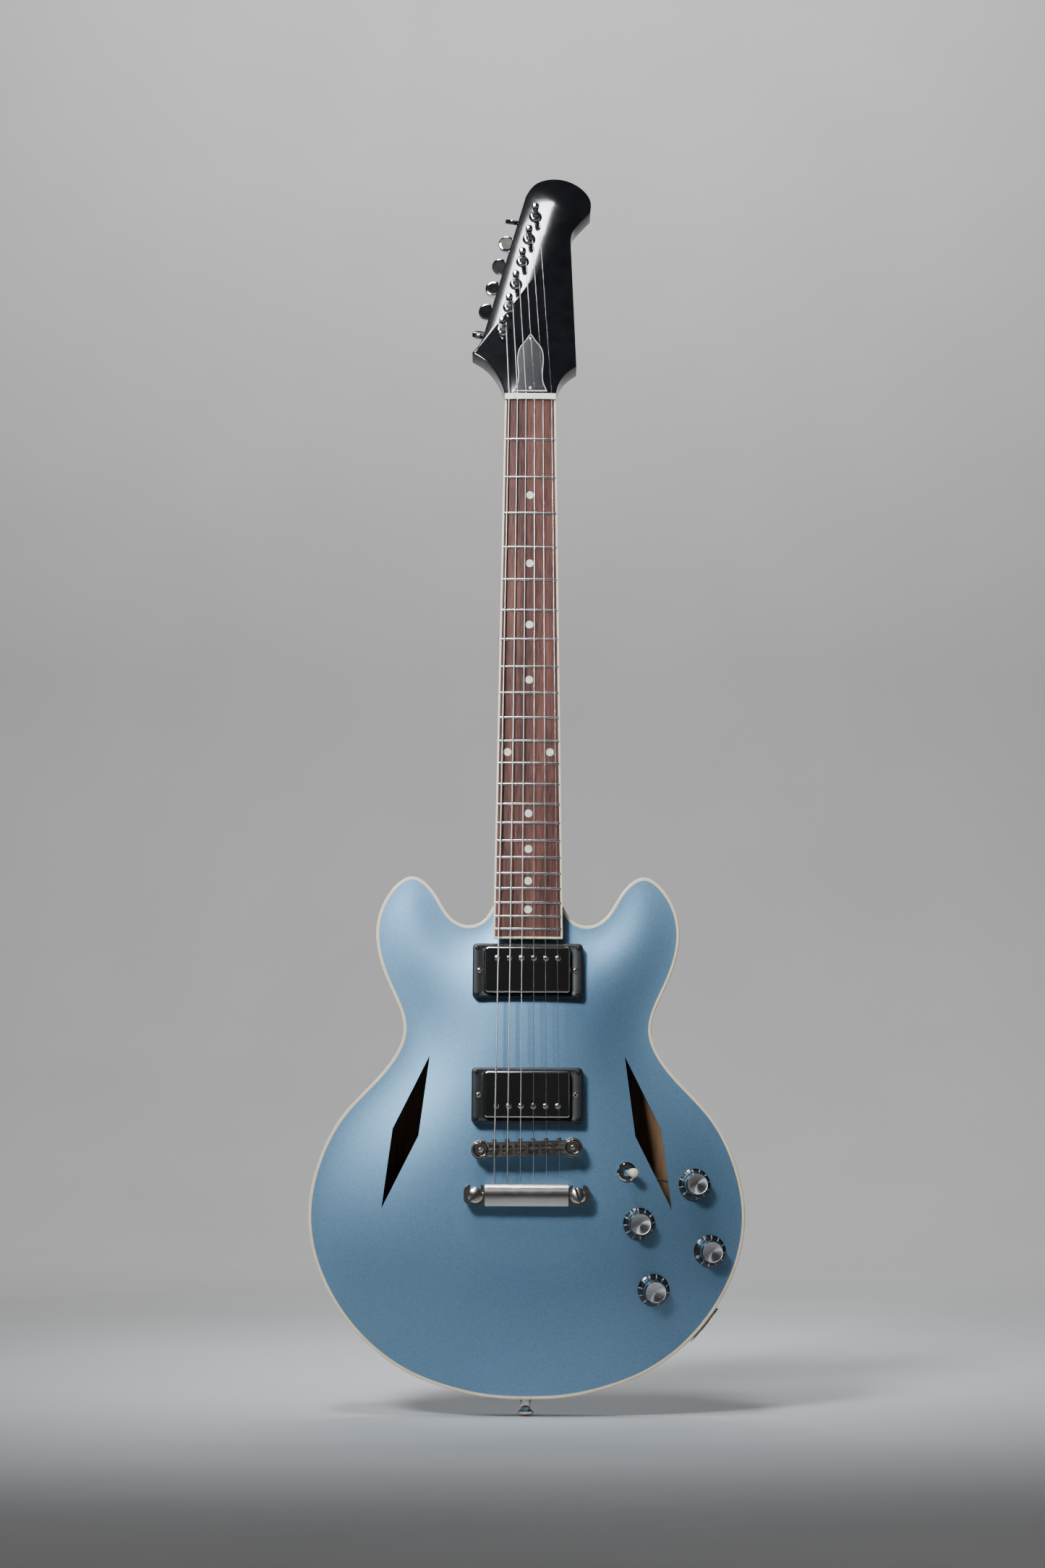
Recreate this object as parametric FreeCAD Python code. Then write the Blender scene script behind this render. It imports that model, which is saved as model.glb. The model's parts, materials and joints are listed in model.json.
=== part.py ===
import FreeCAD, Part
import math
import os

# Thinline semi-hollow electric guitar, in millimetres.
# +Z runs up the neck, the strings face -Y, +X is the treble side.
# The origin is the lowest point of the sides, on the centre line, half way through their depth.

V = FreeCAD.Vector
Frame = FreeCAD.Placement
Turn = FreeCAD.Rotation
X_AXIS = V(1, 0, 0)
Y_AXIS = V(0, 1, 0)
Z_AXIS = V(0, 0, 1)
RUN_FIT = 0.05

# Body
RIM_DEPTH = 42.0
RIM_WALL = 5.0
PLATE = 5.0
TOP_ARCH = 10.5
BACK_ARCH = 8.0
ARCH_RUN = 90.0
BINDING = 2.6
LINING_WIDTH = 6.0
LINING_DEPTH = 9.0
BLOCK_HALF_WIDTH = 52.0
NECK_JOINT_Z = 396.5
FRONT = -RIM_DEPTH / 2
BACK = RIM_DEPTH / 2
# Treble half of the outline, from the tail to the neck joint: distance from the centre line, height.
HALF_OUTLINE = [
    (31, 1.5), (62, 8), (91, 18.5), (118, 35), (154, 74.3), (173.4, 118), (176.9, 147), (170.5, 185),
    (150, 226), (118, 261), (101.3, 295), (113.2, 331), (124.2, 367), (117.5, 402), (94.5, 421),
    (75.5, 406), (62, 386.5), (48.5, 381), (36, 386), (29.2, NECK_JOINT_Z),
]
# Which of those points are the narrowest part of the waist and the tip of the horn.
WAIST_POINT, HORN_POINT = 10, 14
# Corners of the treble sound hole: upper tip, inner, lower tip, outer.
SOUND_HOLE = [(79.4, 274.5), (87.8, 209.5), (117.2, 151), (109, 215)]

# Neck and fingerboard, in the neck's own frame: x across, y into the neck, z from the board's end
# towards the nut, with the crown of the board at y = 0.
NECK_ANGLE = 3.3
BOARD_END_Z = 369.0
BOARD_RISE = 17.0
BOARD_LENGTH = 460.0
BOARD_THICK = 6.0
BOARD_RADIUS = 305.0
BOARD_BINDING = 1.5
SCALE_LENGTH = 628.65
FRET_COUNT = 22
NUT_WIDTH = 43.05
NUT_THICK = 5.0
TAPER = 0.02964
# Wood below the board: at the nut, at the body end of the straight shaft, and at the heel
NUT_DEPTH = 15.0
SHAFT_DEPTH = 19.6
HEEL_DEPTH = 48.0
HEEL_TOP = 34.0
SHAFT_START = 106.0
HEEL_FOOT = 22.0
TENON_HALF_WIDTH = 26.0
TENON_DEPTH = 26.0
ROD_RADIUS = 2.4
ROD_DEPTH = 12.0

# Headstock, in its own frame: x across, y into the wood, z up from the back of the nut.
HEAD_ANGLE = 17.0
HEAD_DROP = 4.5
VENEER = 1.5
HEAD_THICK = 15.5
TUNER_TILT = 12.6
TUNER_PITCH = 25.58
FIRST_TUNER = (-24.0, 68.4)
KEY_OFFSET = 6.4
KEY_DEPTH = HEAD_THICK + 5.2
BUTTON_REACH = 21.5
# How far each button has been left turned, lowest string first
KEY_TURNS = [-40, 36, 10, 44, 20, -52]

# Strings, lowest first, with the radius of each
STRING_RADII = [0.58, 0.46, 0.33, 0.22, 0.17, 0.13]
NUT_SPACING = 7.2
SADDLE_SPACING = 10.4
NUT_HEIGHT = 1.7
STRING_RISE = 3.4
SADDLE_COMPENSATION = [4.0, 3.2, 2.4, 2.6, 1.8, 1.0]

# Pickups
NECK_PICKUP_Z = 343.5
BRIDGE_PICKUP_Z = 242.5
RING_SIZE = (90.0, 45.0)
COVER_SIZE = (69.0, 37.5)
COVER_DEPTH = 19.0
COVER_WALL = 0.8
POLE_PITCH = 9.9
COIL_OFFSET = 9.3
COVER_TO_STRING = 3.4

# Bridge and tailpiece
BRIDGE_Z = 199.2
BRIDGE_SLANT = 1.8
POST_HALF_SPACING = 37.0
BRIDGE_LENGTH = 88.5
BRIDGE_WIDTH = 12.0
BRIDGE_HEIGHT = 8.5
SADDLE_GAP = 0.3
SADDLE_TRAVEL = 2.0
TAIL_Z = 162.3
STUD_HALF_SPACING = 41.0
TAIL_LENGTH = 101.0
TAIL_WIDTH = 17.5
TAIL_THICK = 12.0

# Controls: distance from the centre line and height of each knob, then the switch
KNOBS = [(135.5, 171.2), (90.5, 139.8), (147.8, 118.2), (102.3, 87.2)]
SWITCH = (80.6, 181.2)
KNOB_RADIUS = 13.0
KNOB_HEIGHT = 14.5
SHAFT_RADIUS = 3.0
BUSHING_RADIUS = 4.7
LEVER_LEAN = 16.0
JACK_X = 143.0
PLUG_RADIUS = 3.25


# ---------------------------------------------------------------- small helpers

def box(x0, x1, y0, y1, z0, z1):
    """A box between two corners, with the two x values in either order."""
    return Part.makeBox(abs(x1 - x0), y1 - y0, z1 - z0, V(min(x0, x1), y0, z0))


def rod(start, end, radius):
    """A cylinder from one point to another."""
    return Part.makeCylinder(radius, (end - start).Length, start, end - start)


def placed(shape, frame):
    """A copy of a shape, moved from its own frame into a parent's."""
    moved = shape.copy()
    moved.Placement = frame.multiply(moved.Placement)
    return moved


def shifted(x, y, z):
    """A frame moved without turning."""
    return Frame(V(x, y, z), Turn())


def joined(shapes):
    """One solid made of several that touch or overlap."""
    return shapes[0].multiFuse(shapes[1:]).removeSplitter()


def mirrored(shape):
    """The same shape on the bass side."""
    return shape.mirror(V(0, 0, 0), X_AXIS)


def prism(points, y0, y1):
    """A straight-sided block with corners (x, z), from one depth to another."""
    corners = [V(x, y0, z) for x, z in points]
    face = Part.Face(Part.makePolygon(corners + corners[:1]))
    return face.extrude(V(0, y1 - y0, 0))


def rounded_box(width, height, corner, y0, y1):
    """A block centred on the y axis whose four long edges have a radius."""
    block = box(-width / 2, width / 2, y0, y1, -height / 2, height / 2)
    edges = [e for e in block.Edges if abs(e.tangentAt(e.FirstParameter).y) > 0.9]
    return block.makeFillet(corner, edges)


def turned(profile):
    """A solid turned about the y axis from (radius, y) points."""
    corners = [V(r, y, 0) for r, y in profile]
    face = Part.Face(Part.makePolygon(corners + corners[:1]))
    return face.revolve(V(0, 0, 0), Y_AXIS, 360)


# ---------------------------------------------------------------- body outline and arching

def outline_curve():
    """The whole edge of the body as one smooth curve, round by the tail."""
    treble = [V(x, 0, z) for x, z in HALF_OUTLINE]
    bass = [V(-p.x, 0, p.z) for p in reversed(treble)]
    curve = Part.BSplineCurve()
    curve.interpolate(bass + [V(0, 0, 0)] + treble)
    return curve


OUTLINE = outline_curve()


def outline_points(count, inset=0.0):
    """Points evenly along the outline with the inward normal of each, moved inwards by the inset."""
    points = []
    for i in range(count + 1):
        u = OUTLINE.FirstParameter + (OUTLINE.LastParameter - OUTLINE.FirstParameter) * i / count
        along = OUTLINE.tangent(u)[0]
        inward = V(-along.z, 0, along.x)
        points.append((OUTLINE.value(u) + inward * inset, inward))
    return points


def body_prism(inset, y0, y1, open_top=0.0):
    """The body's outline less the inset, as a block; open_top carries it past the neck joint."""
    curve = OUTLINE
    if inset:
        curve = Part.BSplineCurve()
        curve.interpolate([p for p, _ in outline_points(110, inset)])
    start, end = curve.value(curve.FirstParameter), curve.value(curve.LastParameter)
    top = [end + V(0, 0, open_top), start + V(0, 0, open_top)] if open_top else []
    corners = [end] + top + [start]
    edges = [curve.toShape()] + [Part.makeLine(a, b) for a, b in zip(corners, corners[1:])]
    face = Part.Face(Part.Wire(edges))
    face.translate(V(0, y0, 0))
    return face.extrude(V(0, y1 - y0, 0))


ARCH_POINTS = outline_points(240)


def arch(x, z):
    """How far up the arch a place is, from 0 at the edge to 1 on the crown: smooth, with no ridges."""
    here = V(x, 0, z)
    pull = 0.0
    nearest = None
    for (a, inward), (b, _) in zip(ARCH_POINTS, ARCH_POINTS[1:]):
        away = here - a
        distance = max(away.Length, 0.5)
        pull += (b - a).Length / distance ** 3
        if nearest is None or distance < nearest[0]:
            nearest = (distance, away.dot(inward))
    if nearest[1] < 0:
        return 0.0
    t = min(1.0, math.sqrt(2.0 / pull) / ARCH_RUN)
    return t * t * (3 - 2 * t)


def arch_face(side, height, offset=0.0):
    """The arched outer face of the top (side -1) or back (side +1), moved by the offset along y."""
    half_width, step = 186.0, 15.5
    columns = int(2 * half_width / step) + 1
    rows = 30
    grid = []
    for i in range(columns):
        x = -half_width + step * i
        heights = [-10.0 + 440.0 * j / (rows - 1) for j in range(rows)]
        grid.append([V(x, side * (RIM_DEPTH / 2 + height * arch(x, z)) + offset, z) for z in heights])
    surface = Part.BSplineSurface()
    surface.interpolate(grid)
    return surface.toShape()


TOP_FACE = arch_face(-1, TOP_ARCH)
BACK_FACE = arch_face(1, BACK_ARCH)
BELOW_TOP = TOP_FACE.extrude(V(0, 60, 0))


def top_y(x, z):
    """Depth of the top's outer face at a place."""
    return FRONT - TOP_ARCH * arch(x, z)


def top_frame(x, z, lift=0.0):
    """A frame standing on the top: y points into the body along the face's own normal."""
    step = 3.0
    dx = (top_y(x + step, z) - top_y(x - step, z)) / (2 * step)
    dz = (top_y(x, z + step) - top_y(x, z - step)) / (2 * step)
    inward = V(-dx, 1, -dz).normalize()
    base = V(x, top_y(x, z), z) - inward * lift
    return Frame(base, Turn(Y_AXIS, inward))


def sound_hole():
    """The treble diamond as a block that runs right through the top."""
    return prism(SOUND_HOLE, FRONT - 25, FRONT + 15)


def body_top():
    """Laminated arched top with its two sound holes."""
    plate = TOP_FACE.extrude(V(0, PLATE, 0)).common(body_prism(BINDING, FRONT - 20, FRONT + PLATE + 8))
    return plate.cut(Part.makeCompound([sound_hole(), mirrored(sound_hole())]))


def body_back():
    """Laminated arched back."""
    return BACK_FACE.extrude(V(0, -PLATE, 0)).common(body_prism(BINDING, BACK - PLATE - 8, BACK + 20))


def ring(outer, inner, y0, y1):
    """A wall that follows the body's edge, open at the neck joint."""
    return body_prism(outer, y0, y1).cut(body_prism(inner, y0 - 1, y1 + 1, 30.0))


def rim():
    """Bent sides in three strips each: lower bout, waist to horn tip, and cutaway."""
    wall = ring(0, RIM_WALL, FRONT + PLATE, BACK - PLATE)
    waist, horn = HALF_OUTLINE[WAIST_POINT][1], HALF_OUTLINE[HORN_POINT][0]
    strips = []
    for side in (1, -1):
        lower = box(0, side * 210, -30, 30, -20, waist)
        outer = box(side * horn, side * 210, -30, 30, waist, 450)
        cutaway = box(0, side * horn, -30, 30, waist, 450)
        strips += [wall.common(part) for part in (lower, outer, cutaway)]
    return strips


def body_bindings():
    """Plastic strips let into the front and back edges."""
    return [ring(0, BINDING, FRONT, FRONT + PLATE), ring(0, BINDING, BACK - PLATE, BACK)]


def kerfed_lining():
    """Linings glued inside the sides, under the top and over the back."""
    front, back = FRONT + PLATE, BACK - PLATE
    rings = [(front, front + LINING_DEPTH), (back - LINING_DEPTH, back)]
    return [ring(RIM_WALL, RIM_WALL + LINING_WIDTH, y0, y1) for y0, y1 in rings]


def centre_block():
    """Solid block between the top and the back, from the tail to the neck."""
    blank = body_prism(RIM_WALL, FRONT - 20, BACK + 20)
    block = blank.common(box(-BLOCK_HALF_WIDTH, BLOCK_HALF_WIDTH, -60, 60, 2, NECK_JOINT_Z - 0.5))
    outside_top = TOP_FACE.extrude(V(0, -60, 0))
    outside_top.translate(V(0, PLATE, 0))
    outside_back = BACK_FACE.extrude(V(0, 60, 0))
    outside_back.translate(V(0, -PLATE, 0))
    return block.cut(outside_top).cut(outside_back)


# ---------------------------------------------------------------- neck

NECK = Frame(V(0, FRONT - BOARD_RISE, BOARD_END_Z), Turn(X_AXIS, -NECK_ANGLE))
HEAD = NECK.multiply(Frame(V(0, HEAD_DROP, BOARD_LENGTH + NUT_THICK), Turn(X_AXIS, -HEAD_ANGLE)))


def board_half_width(z):
    """Half the fingerboard's width at a height above its end."""
    return NUT_WIDTH / 2 + (BOARD_LENGTH - z) * TAPER / 2


def board_block(inset, z0, z1, y0=-1.0, y1=BOARD_THICK):
    """A tapered length of board with a round top, narrower on each side by the inset."""
    low, high = board_half_width(z0) - inset, board_half_width(z1) - inset
    blank = prism([(-low, z0), (low, z0), (high, z1), (-high, z1)], y0, y1)
    barrel = Part.makeCylinder(BOARD_RADIUS, z1 - z0 + 20, V(0, BOARD_RADIUS, z0 - 10), Z_AXIS)
    return blank.common(barrel)


def fret_height(number):
    """Height of a fret above the board's end."""
    return BOARD_LENGTH - SCALE_LENGTH * (1 - 2 ** (-number / 12))


def fret(number):
    """One fret: a round crown on the board's radius and a tang pressed into its slot."""
    z = fret_height(number)
    half = board_half_width(z) - BOARD_BINDING + 0.3
    angle = math.degrees(math.asin(half / BOARD_RADIUS))
    crown_half, crown_height = 1.2, 1.1
    ends = [V(0, 0, z - crown_half), V(0, 0, z + crown_half)]
    dome = Part.Arc(ends[0], V(0, -crown_height, z), ends[1]).toShape()
    face = Part.Face(Part.Wire([dome, Part.makeLine(ends[1], ends[0])]))
    face.rotate(V(0, BOARD_RADIUS, 0), Z_AXIS, -angle)
    crown = face.revolve(V(0, BOARD_RADIUS, 0), Z_AXIS, 2 * angle)
    tang = board_block(BOARD_BINDING + 1.5, z - 0.3, z + 0.3, -1.0, 3.0)
    return crown.fuse(tang)


def position_dots():
    """Round inlays: one at each marker, two at the octave."""
    between = {n: (fret_height(n - 1) + fret_height(n)) / 2 for n in range(1, FRET_COUNT + 1)}
    places = [(0, n) for n in (3, 5, 7, 9, 15, 17, 19, 21)] + [(-17.5, 12), (17.5, 12)]
    barrel = Part.makeCylinder(BOARD_RADIUS, 500, V(0, BOARD_RADIUS, -20), Z_AXIS)
    dots = []
    for x, n in places:
        start = V(x, -1, between[n])
        dots.append(rod(start, start + V(0, 3.0, 0), 3.2).common(barrel))
    return dots


def nut_blank():
    """Bone nut before its string slots are cut."""
    z0, z1 = BOARD_LENGTH, BOARD_LENGTH + NUT_THICK
    blank = prism([(-21.5, z0), (21.5, z0), (21.5, z1), (-21.5, z1)], -4, BOARD_THICK)
    crown = Part.makeCylinder(BOARD_RADIUS, 30, V(0, BOARD_RADIUS - 2.1, z0 - 10), Z_AXIS)
    return blank.common(crown)


def neck_section(z):
    """One closed cross-section of the neck, flat where the board is glued and squarer at the heel."""
    along = min(1.0, max(0.0, (z - SHAFT_START) / (BOARD_LENGTH + NUT_THICK - SHAFT_START)))
    rise = min(1.0, max(0.0, (SHAFT_START - z) / (SHAFT_START - HEEL_TOP)))
    heel = rise * rise * rise * (4 - 3 * rise)
    shaft = SHAFT_DEPTH + (NUT_DEPTH - SHAFT_DEPTH) * along
    depth = shaft + (HEEL_DEPTH - shaft) * heel
    power = 2 / (2.2 + 1.2 * heel)
    half = min(board_half_width(z), 28.2)
    steps = 14
    points = []
    for i in range(steps + 1):
        c, s = math.cos(math.pi * i / steps), math.sin(math.pi * i / steps)
        across = math.copysign(abs(c) ** power, c) * half
        points.append(V(across, BOARD_THICK + depth * abs(s) ** power, z))
    curve = Part.BSplineCurve()
    curve.interpolate(points)
    return Part.Wire([curve.toShape(), Part.makeLine(points[-1], points[0])])


def headstock_face():
    """Outline of the headstock: straight tuner side, round top, hooked treble corner, two wings."""
    half = NUT_WIDTH / 2
    wing, tip, shoulder = V(39.3, 0, 31.6), V(-49.9, 0, 45.4), V(-40.3, 0, 65)
    notch, corner, crest = V(34.9, 0, 168), V(52.3, 0, 199.5), V(-4.9, 0, 216.6)

    def smooth(points):
        curve = Part.BSplineCurve()
        curve.interpolate(points)
        return curve.toShape()

    edges = [
        smooth([V(half, 0, 0), V(23.2, 0, 10), V(28.2, 0, 21), wing]),
        Part.makeLine(wing, notch),
        smooth([notch, V(36.6, 0, 177.5), V(43, 0, 187.5), corner]),
        smooth([corner, V(53, 0, 209.6), V(43.5, 0, 227), V(22.9, 0, 236.5), V(4, 0, 231), crest]),
        Part.makeLine(crest, shoulder),
        smooth([shoulder, V(-44.6, 0, 53), tip]),
        smooth([tip, V(-40, 0, 38), V(-29.5, 0, 24.3), V(-23.4, 0, 9), V(-half, 0, 0)]),
        Part.makeLine(V(-half, 0, 0), V(half, 0, 0)),
    ]
    return Part.Face(Part.Wire(edges))


def headstock_plate(y0, y1):
    """A slice of the headstock between two depths."""
    face = headstock_face()
    face.translate(V(0, y0, 0))
    return face.extrude(V(0, y1 - y0, 0))


def neck_body():
    """Neck shaft with its heel, tenon and headstock, in the neck's frame."""
    steps = 7
    heights = [HEEL_FOOT + (SHAFT_START - HEEL_FOOT) * i / steps for i in range(steps + 1)]
    heel = Part.makeLoft([neck_section(z) for z in heights], True, False)
    ends = [neck_section(z) for z in (SHAFT_START, BOARD_LENGTH + NUT_THICK)]
    shaft = Part.makeLoft(ends, True, True)
    tenon = box(-TENON_HALF_WIDTH, TENON_HALF_WIDTH, BOARD_THICK, BOARD_THICK + TENON_DEPTH, 1, 30)
    head = placed(headstock_plate(VENEER, HEAD_THICK), NECK.inverse().multiply(HEAD))
    return joined([heel, shaft, tenon, head])


def truss_rod():
    """Steel rod through the neck with its adjusting nut under the cover."""
    start, end = V(0, ROD_DEPTH, 14), V(0, ROD_DEPTH, BOARD_LENGTH + NUT_THICK + 15)
    hexagon = [V(3.2 * math.cos(k * math.pi / 3), ROD_DEPTH + 3.2 * math.sin(k * math.pi / 3), end.z - 7)
               for k in range(6)]
    nut = Part.Face(Part.makePolygon(hexagon + hexagon[:1])).extrude(V(0, 0, 6))
    return joined([rod(start, end, ROD_RADIUS), nut])


def truss_pocket():
    """Room for the adjusting nut, cut into the headstock's face, in the headstock's frame."""
    return box(-6, 6, -1, 12.5, 8.2, 30)


def truss_rod_cover():
    """Bell-shaped plate over the adjusting nut, in the headstock's frame."""
    right = [V(14.2, 0, 4.2), V(11.3, 0, 12), V(11.2, 0, 36), V(8.6, 0, 51), V(3.6, 0, 58.5), V(0, 0, 64)]
    left = [V(-p.x, 0, p.z) for p in reversed(right[:-1])]
    curve = Part.BSplineCurve()
    curve.interpolate(right + left)
    face = Part.Face(Part.Wire([curve.toShape(), Part.makeLine(left[-1], right[0])]))
    return face.extrude(V(0, -2, 0))


# ---------------------------------------------------------------- small screws

def wood_screw(head_radius, shank_radius, length):
    """Domed cross-head screw: its head stands on y = 0 and its shank runs into +y."""
    dome = [(0, -1.5), (head_radius * 0.6, -1.25), (head_radius * 0.95, -0.5), (head_radius, 0)]
    shank = [(shank_radius, 0), (shank_radius, length - 2), (0, length)]
    screw = turned(dome + shank)
    reach = head_radius * 0.55
    cross = [box(-reach, reach, -2, -0.7, -0.35, 0.35), box(-0.35, 0.35, -2, -0.7, -reach, reach)]
    return screw.cut(Part.makeCompound(cross))


# ---------------------------------------------------------------- tuners

def tuner_frame(index):
    """Frame of a tuner on the headstock: z along the row, -x towards the button."""
    tilt = math.radians(TUNER_TILT)
    along = TUNER_PITCH * index
    place = V(FIRST_TUNER[0] + along * math.sin(tilt), 0, FIRST_TUNER[1] + along * math.cos(tilt))
    return HEAD.multiply(Frame(place, Turn(Y_AXIS, TUNER_TILT)))


POST_RADIUS = 3.1
BUSHING_BORE = POST_RADIUS + RUN_FIT
KEY_RADIUS = 1.8
GEAR_RADIUS = 4.2


def tuner_post():
    """String post with its gear, in the tuner's frame: y points into the wood."""
    profile = [
        (0, -17.2), (2.4, -17), (POST_RADIUS, -16.2), (POST_RADIUS, -13), (2.5, -11), (2.5, -6),
        (POST_RADIUS, -4.5), (POST_RADIUS, HEAD_THICK + 1.6), (GEAR_RADIUS, HEAD_THICK + 1.6),
        (GEAR_RADIUS, HEAD_THICK + 7.6), (1.5, HEAD_THICK + 7.6), (1.5, HEAD_THICK + 8.6),
        (0, HEAD_THICK + 8.6),
    ]
    eye = rod(V(0, -9.5, -4), V(0, -9.5, 4), 0.9)
    return turned(profile).cut(eye)


def tuner_bushing():
    """Threaded bushing that holds the post in the headstock's face."""
    dome = [(BUSHING_BORE, -3.0), (4.0, -3.0), (5.2, -2.0), (5.8, -0.8), (5.8, 0)]
    sleeve = [(4.3, 0), (4.3, 9.0), (BUSHING_BORE, 9.0)]
    return turned(dome + sleeve)


def tuner_housing():
    """Pressed cover and base of the gear, with screw ears and bearings for the key and the post."""
    y0, y1 = HEAD_THICK, HEAD_THICK + 10.2
    ears = rounded_box(12, 37, 4, y0, y0 + 1.2)
    ears.translate(V(0, 0, KEY_OFFSET / 2))
    shell = box(-9.5, 7.5, y0, y1, -6.5, 10.5)
    edges = [e for e in shell.Edges if min(v.Y for v in e.Vertexes) > y1 - 0.1]
    shell = shell.makeFillet(1.6, edges)
    room = box(-8.3, 6.3, y0 + 1.2, y1 - 1.2, -5.3, 9.3)
    post_hole = rod(V(0, y0 - 1, 0), V(0, y0 + 3, 0), BUSHING_BORE)
    foot_hole = rod(V(0, y1 - 1.7, 0), V(0, y1 - 1.1, 0), 1.5 + RUN_FIT)
    key_hole = rod(V(-12, KEY_DEPTH, KEY_OFFSET), V(-6, KEY_DEPTH, KEY_OFFSET), KEY_RADIUS + RUN_FIT)
    holes = [room, post_hole, foot_hole, key_hole]
    return joined([ears, shell]).cut(Part.makeCompound(holes))


def tuner_key(turned_by):
    """Worm shaft and round button, in the tuner's frame."""
    middle = V(-BUTTON_REACH, KEY_DEPTH, KEY_OFFSET)
    shaft = rod(V(6.0, KEY_DEPTH, KEY_OFFSET), middle, KEY_RADIUS)
    collar = rod(V(-14.3, KEY_DEPTH, KEY_OFFSET), V(-10.0, KEY_DEPTH, KEY_OFFSET), 2.8)
    disc = Part.makeCylinder(7.3, 5.0, middle - V(0, 2.5, 0), Y_AXIS)
    rims = [e for e in disc.Edges if len(e.Vertexes) == 1 and e.Length > 40]
    disc = disc.makeFillet(1.9, rims)
    disc.rotate(middle, X_AXIS, turned_by)
    return joined([shaft, collar, disc])


def tuner_screws(index):
    """Two small screws through the housing's ears, from behind the headstock."""
    screws = []
    for z in (-12.2, 18.6):
        flipped = Frame(V(0, HEAD_THICK + 1.2, z), Turn(X_AXIS, 180))
        screws.append(placed(wood_screw(2.2, 1.0, 9), tuner_frame(index).multiply(flipped)))
    return screws


# ---------------------------------------------------------------- strings

def string_route(index):
    """Where one string runs: ball end, bar, bend behind the saddle, nut, post."""
    side = index - 2.5
    x_saddle, x_nut = side * SADDLE_SPACING, side * NUT_SPACING
    crown = BOARD_RADIUS - math.sqrt(BOARD_RADIUS ** 2 - x_saddle ** 2)
    saddle_z = BOARD_LENGTH - SCALE_LENGTH - SADDLE_COMPENSATION[index]
    nut_crown = BOARD_RADIUS - math.sqrt(BOARD_RADIUS ** 2 - x_nut ** 2)
    nut_y = nut_crown - NUT_HEIGHT
    nut = V(x_nut, nut_y, BOARD_LENGTH)
    saddle = V(x_saddle, crown - NUT_HEIGHT - STRING_RISE, saddle_z)
    past = saddle + (saddle - nut).normalize() * (SADDLE_TRAVEL + 0.6)
    crest, bend, nut = [NECK.multVec(p) for p in (saddle, past, nut)]
    leave = NECK.multVec(V(x_nut, nut_y + 0.5, BOARD_LENGTH + NUT_THICK))
    frame = tuner_frame(index)
    post = frame.multVec(V(POST_RADIUS + 0.3 + STRING_RADII[index], -9.0, -1))
    ball_y = top_y(x_saddle, TAIL_Z) - 9.5
    ball = V(x_saddle, ball_y, TAIL_Z - 6.5)
    bar = V(x_saddle, ball_y, TAIL_Z + 7.5)
    return {"ball": ball, "bar": bar, "bend": bend, "crest": crest, "nut": nut, "leave": leave, "post": post}


def guitar_string(index):
    """One string as straight runs with mitred bends, and its ball end in the tailpiece."""
    route = string_route(index)
    radius = STRING_RADII[index]
    points = [route[k] for k in ("ball", "bar", "bend", "nut", "leave", "post")]
    path = Part.makePolygon(points)
    section = Part.Wire(Part.makeCircle(radius, points[0], points[1] - points[0]))
    wire = path.makePipeShell([section], True, False, 1)
    anchor = rod(points[0] - V(0, 0, 2), points[0] + V(0, 0, 2), 1.9)
    return joined([wire, anchor])


# ---------------------------------------------------------------- pickups

def string_plane_y(z):
    """Depth of the strings above a height on the body, between the two middle strings."""
    middle = [string_route(i) for i in (2, 3)]
    start, end = [(middle[0][k] + middle[1][k]) * 0.5 for k in ("crest", "nut")]
    return start.y + (end.y - start.y) * (z - start.z) / (end.z - start.z)


def pickup_frame(z):
    """A pickup's frame: y = 0 is the face of its cover, parallel to the strings."""
    return Frame(V(0, string_plane_y(z) + COVER_TO_STRING, z), Turn(X_AXIS, -NECK_ANGLE))


def pole_places(row):
    """Centres of the six pole screws in a pickup's own frame."""
    return [V((i - 2.5) * POLE_PITCH, 0, row * COIL_OFFSET) for i in range(6)]


def pickup_cover(row):
    """Pressed metal cover, open behind, with a row of holes for the pole screws."""
    width, height = COVER_SIZE
    outer = rounded_box(width, height, 2.5, 0, COVER_DEPTH)
    rims = [e for e in outer.Edges if all(abs(v.Y) < 0.01 for v in e.Vertexes)]
    outer = outer.makeFillet(1.3, rims)
    inner = rounded_box(width - 2 * COVER_WALL, height - 2 * COVER_WALL, 1.7, COVER_WALL, COVER_DEPTH + 1)
    holes = [rod(p + V(0, -1, 0), p + V(0, 3, 0), 2.6) for p in pole_places(row)]
    return outer.cut(inner).cut(Part.makeCompound(holes))


def pole_screw(place):
    """Slotted pole screw that stands a little proud of the cover."""
    head = rod(place + V(0, -0.9, 0), place + V(0, 1.6, 0), 2.45)
    rims = [e for e in head.Edges if all(abs(v.Y + 0.9) < 0.01 for v in e.Vertexes)]
    head = head.makeFillet(0.6, rims)
    shank = rod(place + V(0, 1, 0), place + V(0, COVER_DEPTH + 4, 0), 1.6)
    slot = box(place.x - 3, place.x + 3, -2, -0.1, place.z - 0.4, place.z + 0.4)
    return joined([head, shank]).cut(slot)


def pickup_bobbins(row):
    """Two wound coils side by side; one of them lets the pole screws through."""
    coils = []
    for side in (-1, 1):
        coil = rounded_box(66.6, 17.4, 8.0, COVER_WALL + 1.6, COVER_DEPTH - 6)
        coil.translate(V(0, 0, side * 9.2))
        coils.append(coil)
    holes = [rod(p, p + V(0, 30, 0), 1.6) for p in pole_places(row)]
    return [coil.cut(Part.makeCompound(holes)) for coil in coils]


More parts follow.
